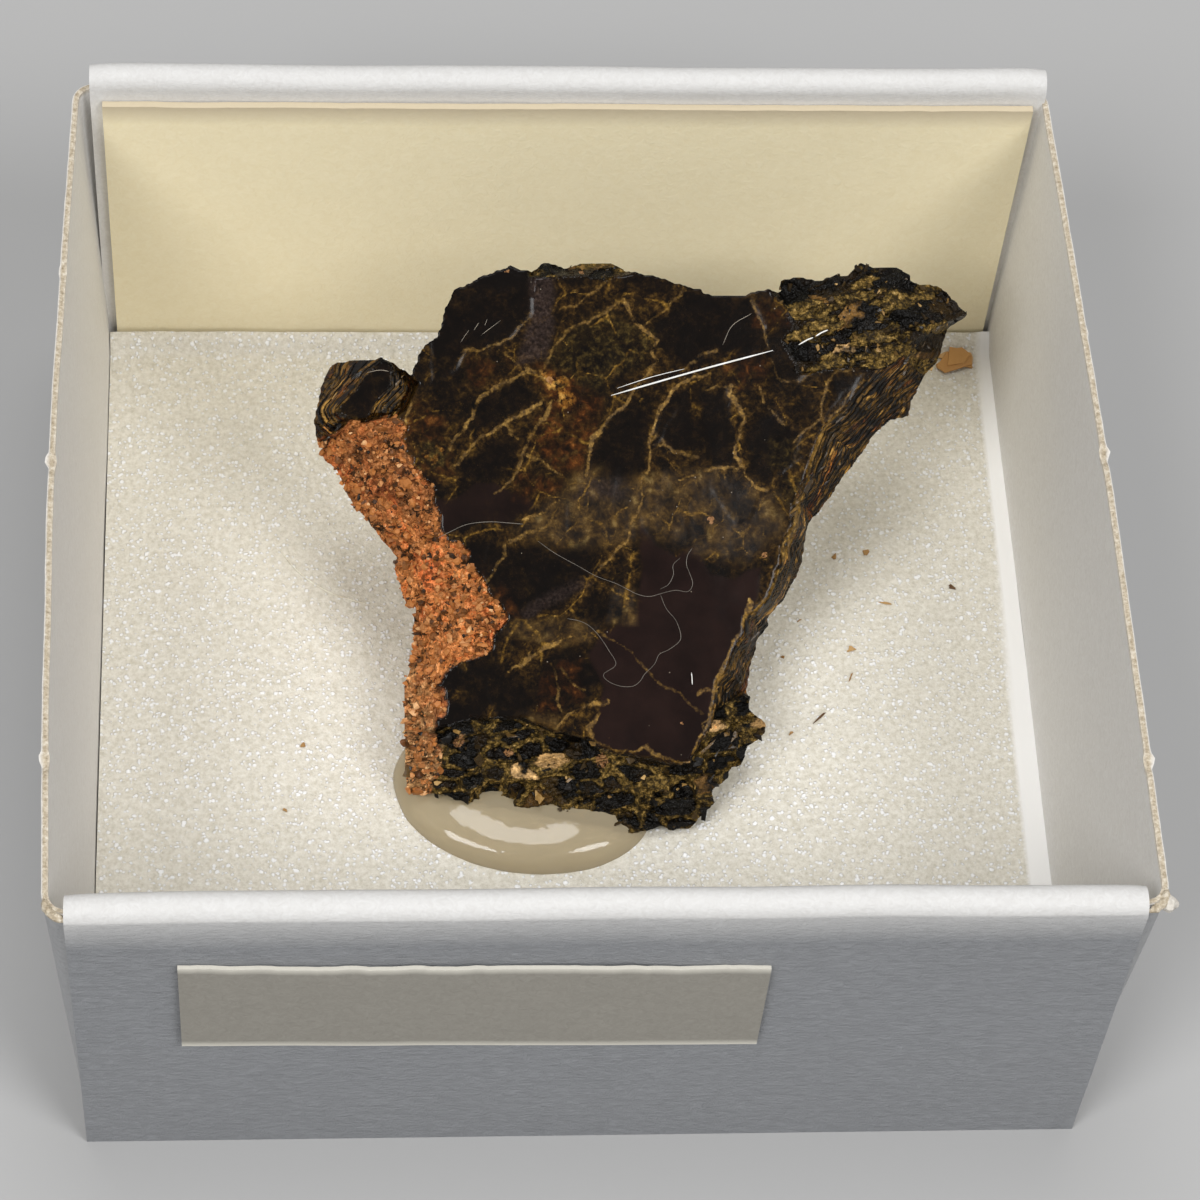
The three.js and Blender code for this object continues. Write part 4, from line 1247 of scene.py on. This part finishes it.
NEEDLES = [  # straight mineral fibres on the face: radius and course in face axes, with height above the face
    (0.036, [(1.45, 17.1, 0.14), (4.8, 18.05, 0.42), (8.15, 18.95, 0.3)]),
    (0.015, [(1.7, 17.4, 0.1), (3.1, 17.85, 0.22), (4.5, 18.2, 0.12)]),
    (0.03, [(9.25, 19.2, 0.25), (9.6, 19.4, 0.28), (9.85, 19.5, 0.25)]),
    (0.03, [(9.95, 19.55, 0.3), (10.2, 19.7, 0.3), (10.45, 19.8, 0.25)]),
    (0.02, [(4.75, 5.15, 0.14), (4.74, 5.4, 0.15), (4.72, 5.65, 0.14)]),
]
HAIRS = [  # curly textile fibres lying on the face
    (0.009, [
        (-1.6, 11.1), (-0.9, 10.6), (0, 10.1), (0.8, 9.65), (1.6, 9.35), (2.1, 9.1), (2.5, 8.9), (3, 8.8),
        (3.6, 8.95), (4.1, 9.05), (4.6, 9), (4.8, 9.3), (4.7, 9.7), (4.55, 10.1), (4.6, 10.5), (4.8, 10.8)]),
    (0.009, [(4.3, 10.4), (4, 10.1), (4, 9.7), (3.8, 9.3), (3.45, 9.1)]),
    (0.009, [
        (3.45, 8.9), (3.7, 8.3), (4.1, 7.8), (4.3, 7.2), (4.2, 6.9), (3.8, 6.6), (3.4, 6.4), (3.2, 6),
        (2.8, 5.6), (2.6, 5.3), (2.3, 5.1), (1.8, 5.1), (1.3, 5.3), (1.1, 5.6), (1.6, 6), (1.3, 6.6),
        (0.9, 7.2), (0.5, 7.6), (0.1, 7.8), (-0.4, 7.9)]),
    (0.012, [(-5.8, 11.2), (-5.2, 11.5), (-4.5, 11.8), (-3.6, 11.9), (-2.8, 11.85), (-2.2, 11.8)]),
]
# partly real pale scores, partly painted highlights along edges and a painted reflection along the fold
SCRATCHES_AND_GLINTS = [  # pale scores and edges on the black block, and the bright line of its fold
    (0.008, [(-4.75, 19.3), (-4.55, 19.6), (-4.4, 19.8)]),
    (0.008, [(-4.2, 19.8), (-4.1, 19.95), (-4, 20.1)]),
    (0.008, [(-3.75, 20), (-3.7, 20.12), (-3.65, 20.25)]),
    (0.008, [(-3.9, 19.6), (-3.5, 19.9), (-3.1, 20.2)]),
    (0.01, [(6.1, 19.2), (6.5, 20), (7.3, 20.5)]),
    (0.01, [(-8.6, 18.05), (-8.1, 18.15), (-7.7, 18.1)]),
]


def on_face(line, lift):
    """Points of a line in face axes, laid on the face `lift` above its surface."""
    line = np.asarray(line, float)
    height = Face(line[:, 0], line[:, 1]).height
    height = np.convolve(np.pad(height, 3, mode="edge"), np.ones(7) / 7, "valid")
    extra = line[:, 2] if line.shape[1] == 3 else 0
    return to_tray(line[:, 0], line[:, 1], height + lift + extra)


def fibre_solids(kinds, lift):
    solids = [(*tube(on_face(curve_through(course), lift), radius), 0.5) for radius, course in kinds]
    return gather(solids, "tone")


PAD_HAIR = [(-12.2, 6.8), (-11.6, 5.9), (-10.9, 5.2), (-10.0, 4.6), (-9.2, 4.3), (-8.6, 4.1)]
CRUMBS = [  # crumbs of mica on the pad: place, length, width and heading in degrees
    (17.0, 4.9, 0.34, 0.28, 20), (13.95, 4.05, 0.5, 0.14, -15), (10.2, 3.1, 0.26, 0.2, 0),
    (12.3, 1.7, 0.36, 0.22, -40), (12.1, 0.2, 0.6, 0.14, 60), (10.6, -1.8, 0.9, 0.13, 40),
    (9.4, -2.5, 0.25, 0.2, 0), (11.9, 6.5, 0.28, 0.22, 0), (13.3, 6.75, 0.32, 0.26, 0),
    (9.3, 1.3, 0.16, 0.12, 0), (-12.05, -6.1, 0.2, 0.14, 30), (-11.3, -2.95, 0.22, 0.18, 0),
]


def pad_height(x, y):
    """Height of the mealy top of the foam."""
    return PAD_TOP - 0.03 + 0.035 * fractal(x, y, 0.7, 501, 3) + 0.04 * fractal(x, y, 6, 511, 2)


def pad_hair():
    line = curve_through(PAD_HAIR)
    line = np.column_stack([line, pad_height(line[:, 0], line[:, 1]) + 0.08])
    return gather([(*tube(line, 0.022), 0.5)], "tone")


UPWARDS = np.array([0, 0, 1.0])


def pad_crumbs():
    rng = np.random.default_rng(223)
    solids = []
    for x, y, length, width, heading in CRUMBS:
        turn = math.radians(heading)
        across = np.array([math.cos(turn), math.sin(turn), 0.1]) * 1.3
        up = np.array([-math.sin(turn), math.cos(turn), 0.05]) * 2.2 * width / length
        centre = np.array([x, y, pad_height(x, y) + 0.04])
        solids.append((*chip(rng, centre, length / 2, 0.07, across, up, UPWARDS), rng.uniform()))
    return gather(solids, "tone")


def loose_flake():
    """The tan flake in the back corner: a few ragged sheets, one on another."""
    rng = np.random.default_rng(227)
    centre = np.array([*(FLAKE_LOW + FLAKE_HIGH)[:2] / 2, PAD_TOP + 0.02])
    size = 1.45 * (FLAKE_HIGH - FLAKE_LOW)[0] / 2
    solids = []
    for k in range(4):
        axes = (np.array([1, 0.1, 0.02 * k]), np.array([-0.15, 1.4, 0.04]), UPWARDS)
        shift = np.array([*rng.uniform(-0.12, 0.12, 2), 0.08 * k])
        solids.append((*chip(rng, centre + shift, size * (1.15 - 0.12 * k), 0.09, *axes), rng.uniform()))
    return gather(solids, "tone")


# ---------------------------------------------------------------- tray, pad, card, label and glue

CARD = 0.27  # the tray's card, seen at its cut rims
ROLL = 1.3  # thickness of the front and back walls, which are folded double
HALF = 20.0  # half the tray's width and depth at its base
TAB_INSET = 0.35  # how far the tabs of the side walls stay back from the front and back
CORNER = 1.0  # radius of a side wall's bends
RIM = 18.4  # height of the side walls
FRONT_HEIGHT = 19.0
LEFT_SPRING = (0.85, 0.7, 0.4)  # lean of the rim at its front and back ends, and extra at its middle
RIGHT_SPRING = (0.95, 0.15, 0.2)
# small nicks in the rims of the side walls: place from front to back, and depth
NICKS = {-1: ((0.3, 0.35), (-13.2, 0.25), (9.5, 0.12)), 1: ((0.6, 0.3), (-13.6, 0.3), (6.5, 0.1))}


def arc(x, y, reach_x, reach_y, first, last, count):
    """Points of an arc round (x, y), from one angle in degrees to another."""
    turns = [math.radians(turn) for turn in np.linspace(first, last, count)]
    return [(x + reach_x * math.cos(turn), y + reach_y * math.sin(turn)) for turn in turns]


def side_path():
    """Plan of a side wall's outer face, from its front tab round both corners to its back tab."""
    depth = HALF - TAB_INSET
    path = [(HALF - 2.4, -depth), (HALF - 1.6, -depth)]
    path += arc(HALF - CORNER, -depth + CORNER, CORNER, CORNER, -90, 0, 9)
    path += [(HALF, y) for y in np.linspace(-depth + CORNER, depth - CORNER, 180)[1:-1]]
    path += arc(HALF - CORNER, depth - CORNER, CORNER, CORNER, 0, 90, 9)
    return np.array(path + [(HALF - 1.6, depth), (HALF - 2.4, depth)])


def side_wall(side, spring):
    """A single card wall that leans out towards its rim, with a raw, slightly torn cut along the rim."""
    path = side_path()
    along = np.gradient(path, axis=0)
    along /= np.linalg.norm(along, axis=1)[:, None]
    out = np.column_stack([along[:, 1], -along[:, 0]])
    share = np.clip((path[:, 1] + HALF) / (2 * HALF), 0, 1)
    lean = spring[0] + (spring[1] - spring[0]) * share + spring[2] * np.sin(np.pi * share)
    reach = ease(path[:, 0], HALF - 2, HALF - 0.4)
    walk = np.arange(len(path)) * 0.22
    rim = RIM + 0.05 * fractal(walk, walk * 0, 1.6, 301 + side, 3)
    burr = 0.015 * fractal(walk, walk * 0 + 4, 0.9, 311 + side, 2)
    for y, deep in NICKS[side]:
        rim -= deep * 0.5 * np.exp(-((path[:, 1] - y) / 0.25) ** 2)
        burr += deep * 0.5 * np.exp(-((path[:, 1] - y - 0.3) / 0.2) ** 2)
    levels = np.concatenate([np.linspace(0, 0.93, 22), [0.965, 0.985]])
    n = len(levels)
    rings = []
    for k in range(len(path)):
        section = [(t * rim[k], 0.0) for t in levels]
        section += [(rim[k], -0.02 + burr[k]), (rim[k] + 0.03, -0.35 * CARD), (rim[k] + 0.02, -0.7 * CARD),
                    (rim[k] - 0.01, -CARD - burr[k] * 0.5)]
        section += [(t * rim[k], -CARD) for t in levels[::-1]]
        ring = []
        for z, offset in section:
            wave = 0.035 * smooth_noise(walk[k] * 0.5, z * 0.5, 2.5, 321 + side)
            x = path[k, 0] + out[k, 0] * (offset + wave) + lean[k] * reach[k] * z / RIM
            y = path[k, 1] + out[k, 1] * (offset + wave)
            ring.append((side * x, y, z))
        rings.append(ring)
    points, faces = loft(rings)
    if side < 0:
        faces = [face[::-1] for face in faces]
    raw = [0.0] * n + [0.15, 1, 1, 0.8] + [0.0] * n
    # painted shade: the outer faces of the side walls take most of the grey-blue shade colour
    outer = [0.8] * n + [0.0] * (n + 4)
    return points, faces, np.tile(raw, len(path)), np.tile(outer, len(path))


def rolled_wall(side, height):
    """The front or back wall: card rolled over at the top and folded down inside."""
    radius = ROLL / 2
    rings, steps = [], 90
    for k in range(steps + 1):
        x = -HALF + 2 * HALF * k / steps
        sag = 0.05 * smooth_noise(x, 0, 9.0, 331 + side) + 0.006 * smooth_noise(x, 0, 2.5, 333 + side)
        end = min(k, steps - k)
        pinch = 0.12 * math.exp(-end * 0.9)
        section = [(HALF, z) for z in np.linspace(0, height - radius, 20)]
        reach_y, reach_z = radius - pinch * 0.5, radius + sag - pinch
        section += arc(HALF - radius, height - radius, reach_y, reach_z, 0, 180, 15)[1:-1]
        section += [(HALF - ROLL, z) for z in np.linspace(height - radius, 0.3, 20)]
        ring = []
        for y, z in section:
            wave = 0.045 * smooth_noise(x, z, 5.0, 341 + side) + 0.004 * smooth_noise(x, z, 1.2, 343 + side)
            ring.append((x, side * (y + wave * ease(z, 0.5, 3)), z))
        rings.append(ring)
    points, faces = loft(rings)
    if side > 0:
        faces = [face[::-1] for face in faces]
    # the outer face's painted shade fades out where the card rolls over
    outer = [1.0] * 18 + [0.7, 0.45] + [0.2] * 14 + [0.0] * (len(rings[0]) - 34)
    return points, faces, 0.0, np.tile(outer, len(rings))


def corner_curl(side):
    """The torn curl of card core where a side wall tucks into the front panel."""
    rng = np.random.default_rng(401 + side)
    lean = LEFT_SPRING[0] if side < 0 else RIGHT_SPRING[0]
    turn = np.linspace(0, 1.35, 14)
    curl_x, curl_y = side * (HALF + lean - 0.14 - 1.0 * (1 - np.cos(turn))), -HALF + 1.15 - 1.0 * np.sin(turn)
    curl = np.column_stack([curl_x, curl_y, np.full(14, RIM - 0.02)])
    curl += rng.uniform(-0.03, 0.03, curl.shape)
    solids = [(*tube(curl, 0.17, 8), 1.0, 0.0)]
    if side > 0:
        reach = np.linspace(0, 1, 9)
        nub_x, nub_y = HALF + 0.45 + 0.75 * reach, -HALF + 0.75 - 0.2 * reach
        nub = np.column_stack([nub_x, nub_y, RIM - 0.3 + 0.1 * reach])
        nub += rng.uniform(-0.03, 0.03, nub.shape)
        solids.append((*tube(nub, 0.34, 7), 0.45, 0.0))
    return solids


def tray_body():
    low, high = (HALF - 0.1) * -1, HALF - 0.1
    floor_rings = []
    for x in np.linspace(low, high, 9):
        floor_rings.append([(x, low, 0), (x, high, 0), (x, high, 0.4), (x, low, 0.4)])
    floor_points, floor_faces = loft(floor_rings)
    return gather([
        rolled_wall(-1, FRONT_HEIGHT),
        rolled_wall(1, TRAY_HIGH[2]),
        side_wall(-1, LEFT_SPRING),
        side_wall(1, RIGHT_SPRING),
        (floor_points, [face[::-1] for face in floor_faces], 0.0, 0.0),
        *corner_curl(-1), *corner_curl(1),
    ], "raw", "outer")


def paper_sheet(low, high, bow, ragged, seed, turn=0.0):
    """A strip of card or paper that stands upright: slightly bowed, with cut edges that show its core."""
    rings, raw, steps = [], [], 90
    for k in range(steps + 1):
        t = k / steps
        x = low[0] + (high[0] - low[0]) * t
        top = high[2] + ragged * fractal(x, 0, 0.8, seed, 3)
        lift = math.tan(turn) * (x - (low[0] + high[0]) / 2)
        ring, edge = [], []
        for side, rows in ((low[1], np.linspace(0, 1, 16)), (high[1], np.linspace(1, 0, 16))):
            for row in rows:
                z = low[2] + (top - low[2]) * row + lift
                curve = bow * math.sin(math.pi * row) * math.sin(math.pi * t)
                ring.append((x, side - curve + 0.02 * smooth_noise(x, z, 3.0, seed + 5), z))
                edge.append(1.0 if row > 0.985 or row < 0.015 else 0.0)
        rings.append(ring)
        raw.append(edge)
    points, faces = loft(rings)
    return points, faces, {"raw": np.concatenate(raw)}


def foam_pad():
    """The pad: a mealy top that curls up against the name card, and a bare white strip on its right."""
    step, left, right = 0.2, -19.8, 19.79
    front, back = PAD_LOW[1], PAD_HIGH[1]
    grid_x, grid_y = np.meshgrid(np.arange(left, right, step), np.arange(front, back, step))
    seam = 18.75 + 0.45 * (grid_y - front) / (back - front)  # where the white strip starts
    strip = ease(grid_x, seam - 0.08, seam + 0.08)
    grid_x[:, -1] = right + 0.1 * (back - grid_y[:, -1]) / (back - front)
    top = pad_height(grid_x, grid_y) * (1 - strip) + (PAD_TOP + 0.05) * strip
    top += 0.62 * ease(grid_y, back - 1.0, back - 0.1)  # curls up at the back
    rows, columns = grid_x.shape
    index = np.arange(rows * columns).reshape(rows, columns)
    quads = np.stack([index[:-1, :-1], index[:-1, 1:], index[1:, 1:], index[1:, :-1]], axis=-1).reshape(-1, 4)
    border = np.concatenate([index[0, :-1], index[:-1, -1], index[-1, :0:-1], index[:0:-1, 0]])
    points = np.column_stack([grid_x.ravel(), grid_y.ravel(), top.ravel()])
    under = points[border].copy()
    under[:, 2] = PAD_LOW[2]
    start, count = len(points), len(border)
    faces = quads.tolist()
    for i in range(count):
        j = (i + 1) % count
        faces.append((int(border[j]), int(border[i]), start + i, start + j))
    faces.append(tuple(range(start + count - 1, start - 1, -1)))
    strip = strip.ravel()
    return np.vstack([points, under]), faces, {"strip": np.concatenate([strip, strip[border]])}


def glue_blob():
    """The blob of glue: flat in the middle, rolled over steeply at its rim."""
    centre, half_width, half_depth, height = (-2.0, -5.2), 5.55, 3.95, 1.1
    turn = math.radians(-9)
    around, rings = 120, 26
    points = []
    for ring in range(rings + 1):
        share = math.sin(math.pi / 2 * ring / rings)
        for k in range(around):
            angle = 2 * math.pi * k / around
            reach = share * (1 + 0.03 * fractal(math.cos(angle) * 3, math.sin(angle) * 3, 2.0, 601, 2))
            u, v = half_width * math.cos(angle) * reach, half_depth * math.sin(angle) * reach
            x = centre[0] + u * math.cos(turn) - v * math.sin(turn)
            y = centre[1] + u * math.sin(turn) + v * math.cos(turn)
            swell = height * max(0.0, 1 - share**6) ** 0.55 * (1 + 0.06 * smooth_noise(x, y, 2.5, 607))
            points.append((x, y, PAD_TOP - 0.06 + swell))
    faces = []
    for ring in range(rings):
        for k in range(around):
            j = (k + 1) % around
            low, high = ring * around, (ring + 1) * around
            faces.append((low + k, high + k, high + j, low + j))
    start = len(points)
    points += [(x, y, PAD_TOP - 0.12) for x, y, _ in points[-around:]]
    for k in range(around):
        j = (k + 1) % around
        faces.append((start - around + k, start + k, start + j, start - around + j))
    faces.append(tuple(range(start + around - 1, start - 1, -1)))
    return np.array(points), faces, None


# ---------------------------------------------------------------- build

CARD_RISE = np.array([0, 0, 0.35])  # the name card's real top edge is ragged and a little higher
LABEL_TURN = math.radians(1.1)  # the label is stuck on a degree off level
CHIP_TONES = ((0.0, 11, 8, 6), (0.36, 22, 16, 10), (0.52, 64, 48, 22), (0.62, 24, 18, 10),
              (0.78, 96, 72, 34), (0.92, 146, 112, 60), (1.0, 204, 168, 112))
GRAIN_TONES = ((0.0, 24, 18, 12), (0.12, 90, 54, 24), (0.3, 160, 100, 48), (0.55, 190, 122, 64),
               (0.75, 146, 90, 44), (0.92, 206, 144, 88), (1.0, 230, 182, 130))
CRUMB_TONES = ((0.0, 92, 62, 30), (0.5, 156, 114, 62), (1.0, 194, 156, 102))
FLAKE_TONES = ((0.0, 190, 138, 80), (0.5, 214, 166, 104), (1.0, 226, 190, 138))


def place(name, shape, material, slot, replaces=(), smooth=False):
    points, faces, attributes = shape
    return finish_piece(add_mesh(name, points, faces, attributes, smooth), material, replaces)


def label_sheet():
    drop = np.array([0, 0, math.tan(LABEL_TURN) * (LABEL_HIGH - LABEL_LOW)[0] / 2])
    return paper_sheet(LABEL_LOW + drop, LABEL_HIGH - drop, 0.02, 0.12, 711, -LABEL_TURN)


def crystal():
    shape = mica_mesh()
    made = place("mica_crystal_book", shape, mica_material(), "mica", ["mica_crystal"])
    soften_plates(made, shape[2])


crystal()
place("mica_chips", mica_chips(), crumb_material("chip_mica", 0.3, *CHIP_TONES), "mica")
place("rock_grains", rock_grains(), crumb_material("grain_rock", 0.5, *GRAIN_TONES), "mica")
# painted highlight: the needles are coloured near white for the bright line light draws along them
place("mica_needles", fibre_solids(NEEDLES, 0.05), fibre_material("needle", rgb(240, 238, 232)), "mica")
place("lint_fibres", fibre_solids(HAIRS, 0.03), fibre_material("lint", rgb(112, 106, 98)), "mica")
place("face_scratches_and_glints", fibre_solids(SCRATCHES_AND_GLINTS, 0.0), fibre_material("scratch", rgb(150, 140, 126)), "mica")
place("pad_lint", pad_hair(), fibre_material("pad_lint", rgb(226, 216, 196)), "glitter_foam")
place("pad_crumbs", pad_crumbs(), crumb_material("crumb", 0.5, *CRUMB_TONES), "mica")
place("tan_flake", loose_flake(), crumb_material("flake", 0.4, *FLAKE_TONES), "tan_flake", ["loose_flake"])
place("folded_tray", tray_body(), card_material(), "tray_card", ["card_tray"], smooth=True)
cream = paper_material("cream_card", rgb(252, 241, 207), rgb(247, 234, 196), rgb(206, 192, 164))
card_sheet = paper_sheet(CARD_LOW, CARD_HIGH + CARD_RISE, 0.12, 0.03, 701)
place("cream_name_card", card_sheet, cream, "cream_card", ["name_card"])
# painted shade: the label's face is coloured grey for the shade it stands in, like the tray's outer faces; its
# cut edges keep the paper's lighter colour
shaded_label_paper = paper_material("label_paper", rgb(154, 150, 141), rgb(143, 139, 130), rgb(222, 218, 206))
place("paper_label", label_sheet(), shaded_label_paper, "label_paper", ["number_label"])
pad = place("glitter_pad", foam_pad(), foam_material(), "glitter_foam", ["foam_pad"], smooth=True)
place("glue_blob", glue_blob(), glue_material(), "clear_glue", ["glue_foot"], smooth=True)

# ---------------------------------------------------------------- floor, light and camera


FLOOR_HALF = 900.0
FLOOR_GREY = (178, 178, 178)
SKY_COLOR, SKY_STRENGTH = (1.0, 0.99, 0.97, 1), 0.33
LAMPS = (  # name, place, width and watts
    ("lamp_left", (-205, -230, 390), 200, 0.98),
    ("lamp_right", (205, -230, 390), 200, 0.98),
    ("lamp_above", (0, 80, 470), 190, 0.52),
)
CAMERA_PLACE = (-11.176, -90.976, 151.231)
CAMERA_FORWARD = (0.07178, 0.53741, -0.84026)
CAMERA_RIGHT = (0.99741, -0.04178, 0.05848)
CAMERA_LENS = 122.9


def pale_floor():
    corners = [(x * FLOOR_HALF, y * FLOOR_HALF, 0.0) for x, y in ((-1, -1), (1, -1), (1, 1), (-1, 1))]
    made = add_mesh("floor", corners, [(0, 1, 2, 3)])
    s = Shader("floor_paper")
    s.set(color=rgb(*FLOOR_GREY), rough=0.9)
    made.data.materials.append(s.material)


def soft_lamp(name, place, size, watts):
    lamp = bpy.data.lights.new(name, "AREA")
    lamp.shape = "DISK"
    lamp.size = size * MM
    lamp.energy = watts
    made = bpy.data.objects.new(name, lamp)
    made.location = Vector(place) * MM
    made.rotation_mode = "QUATERNION"
    made.rotation_quaternion = made.location.to_track_quat("Z", "Y")
    bpy.context.scene.collection.objects.link(made)


def studio():
    pale_floor()
    for lamp in LAMPS:
        soft_lamp(*lamp)
    world = bpy.data.worlds.new("studio")
    world.use_nodes = True
    background = world.node_tree.nodes["Background"]
    background.inputs["Color"].default_value = SKY_COLOR
    background.inputs["Strength"].default_value = SKY_STRENGTH
    bpy.context.scene.world = world
    bpy.context.scene.view_settings.view_transform = "Standard"


def photo_camera():
    data = bpy.data.cameras.new("camera")
    data.sensor_width = 36
    data.lens = CAMERA_LENS
    data.clip_start, data.clip_end = 0.005, 5
    made = bpy.data.objects.new("camera", data)
    forward, right = Vector(CAMERA_FORWARD).normalized(), Vector(CAMERA_RIGHT).normalized()
    up = right.cross(forward).normalized()
    right = forward.cross(up)
    turn = Matrix((right, up, -forward)).transposed().to_4x4()
    made.matrix_world = Matrix.Translation(Vector(CAMERA_PLACE) * MM) @ turn
    bpy.context.scene.collection.objects.link(made)
    bpy.context.scene.camera = made


studio()
photo_camera()
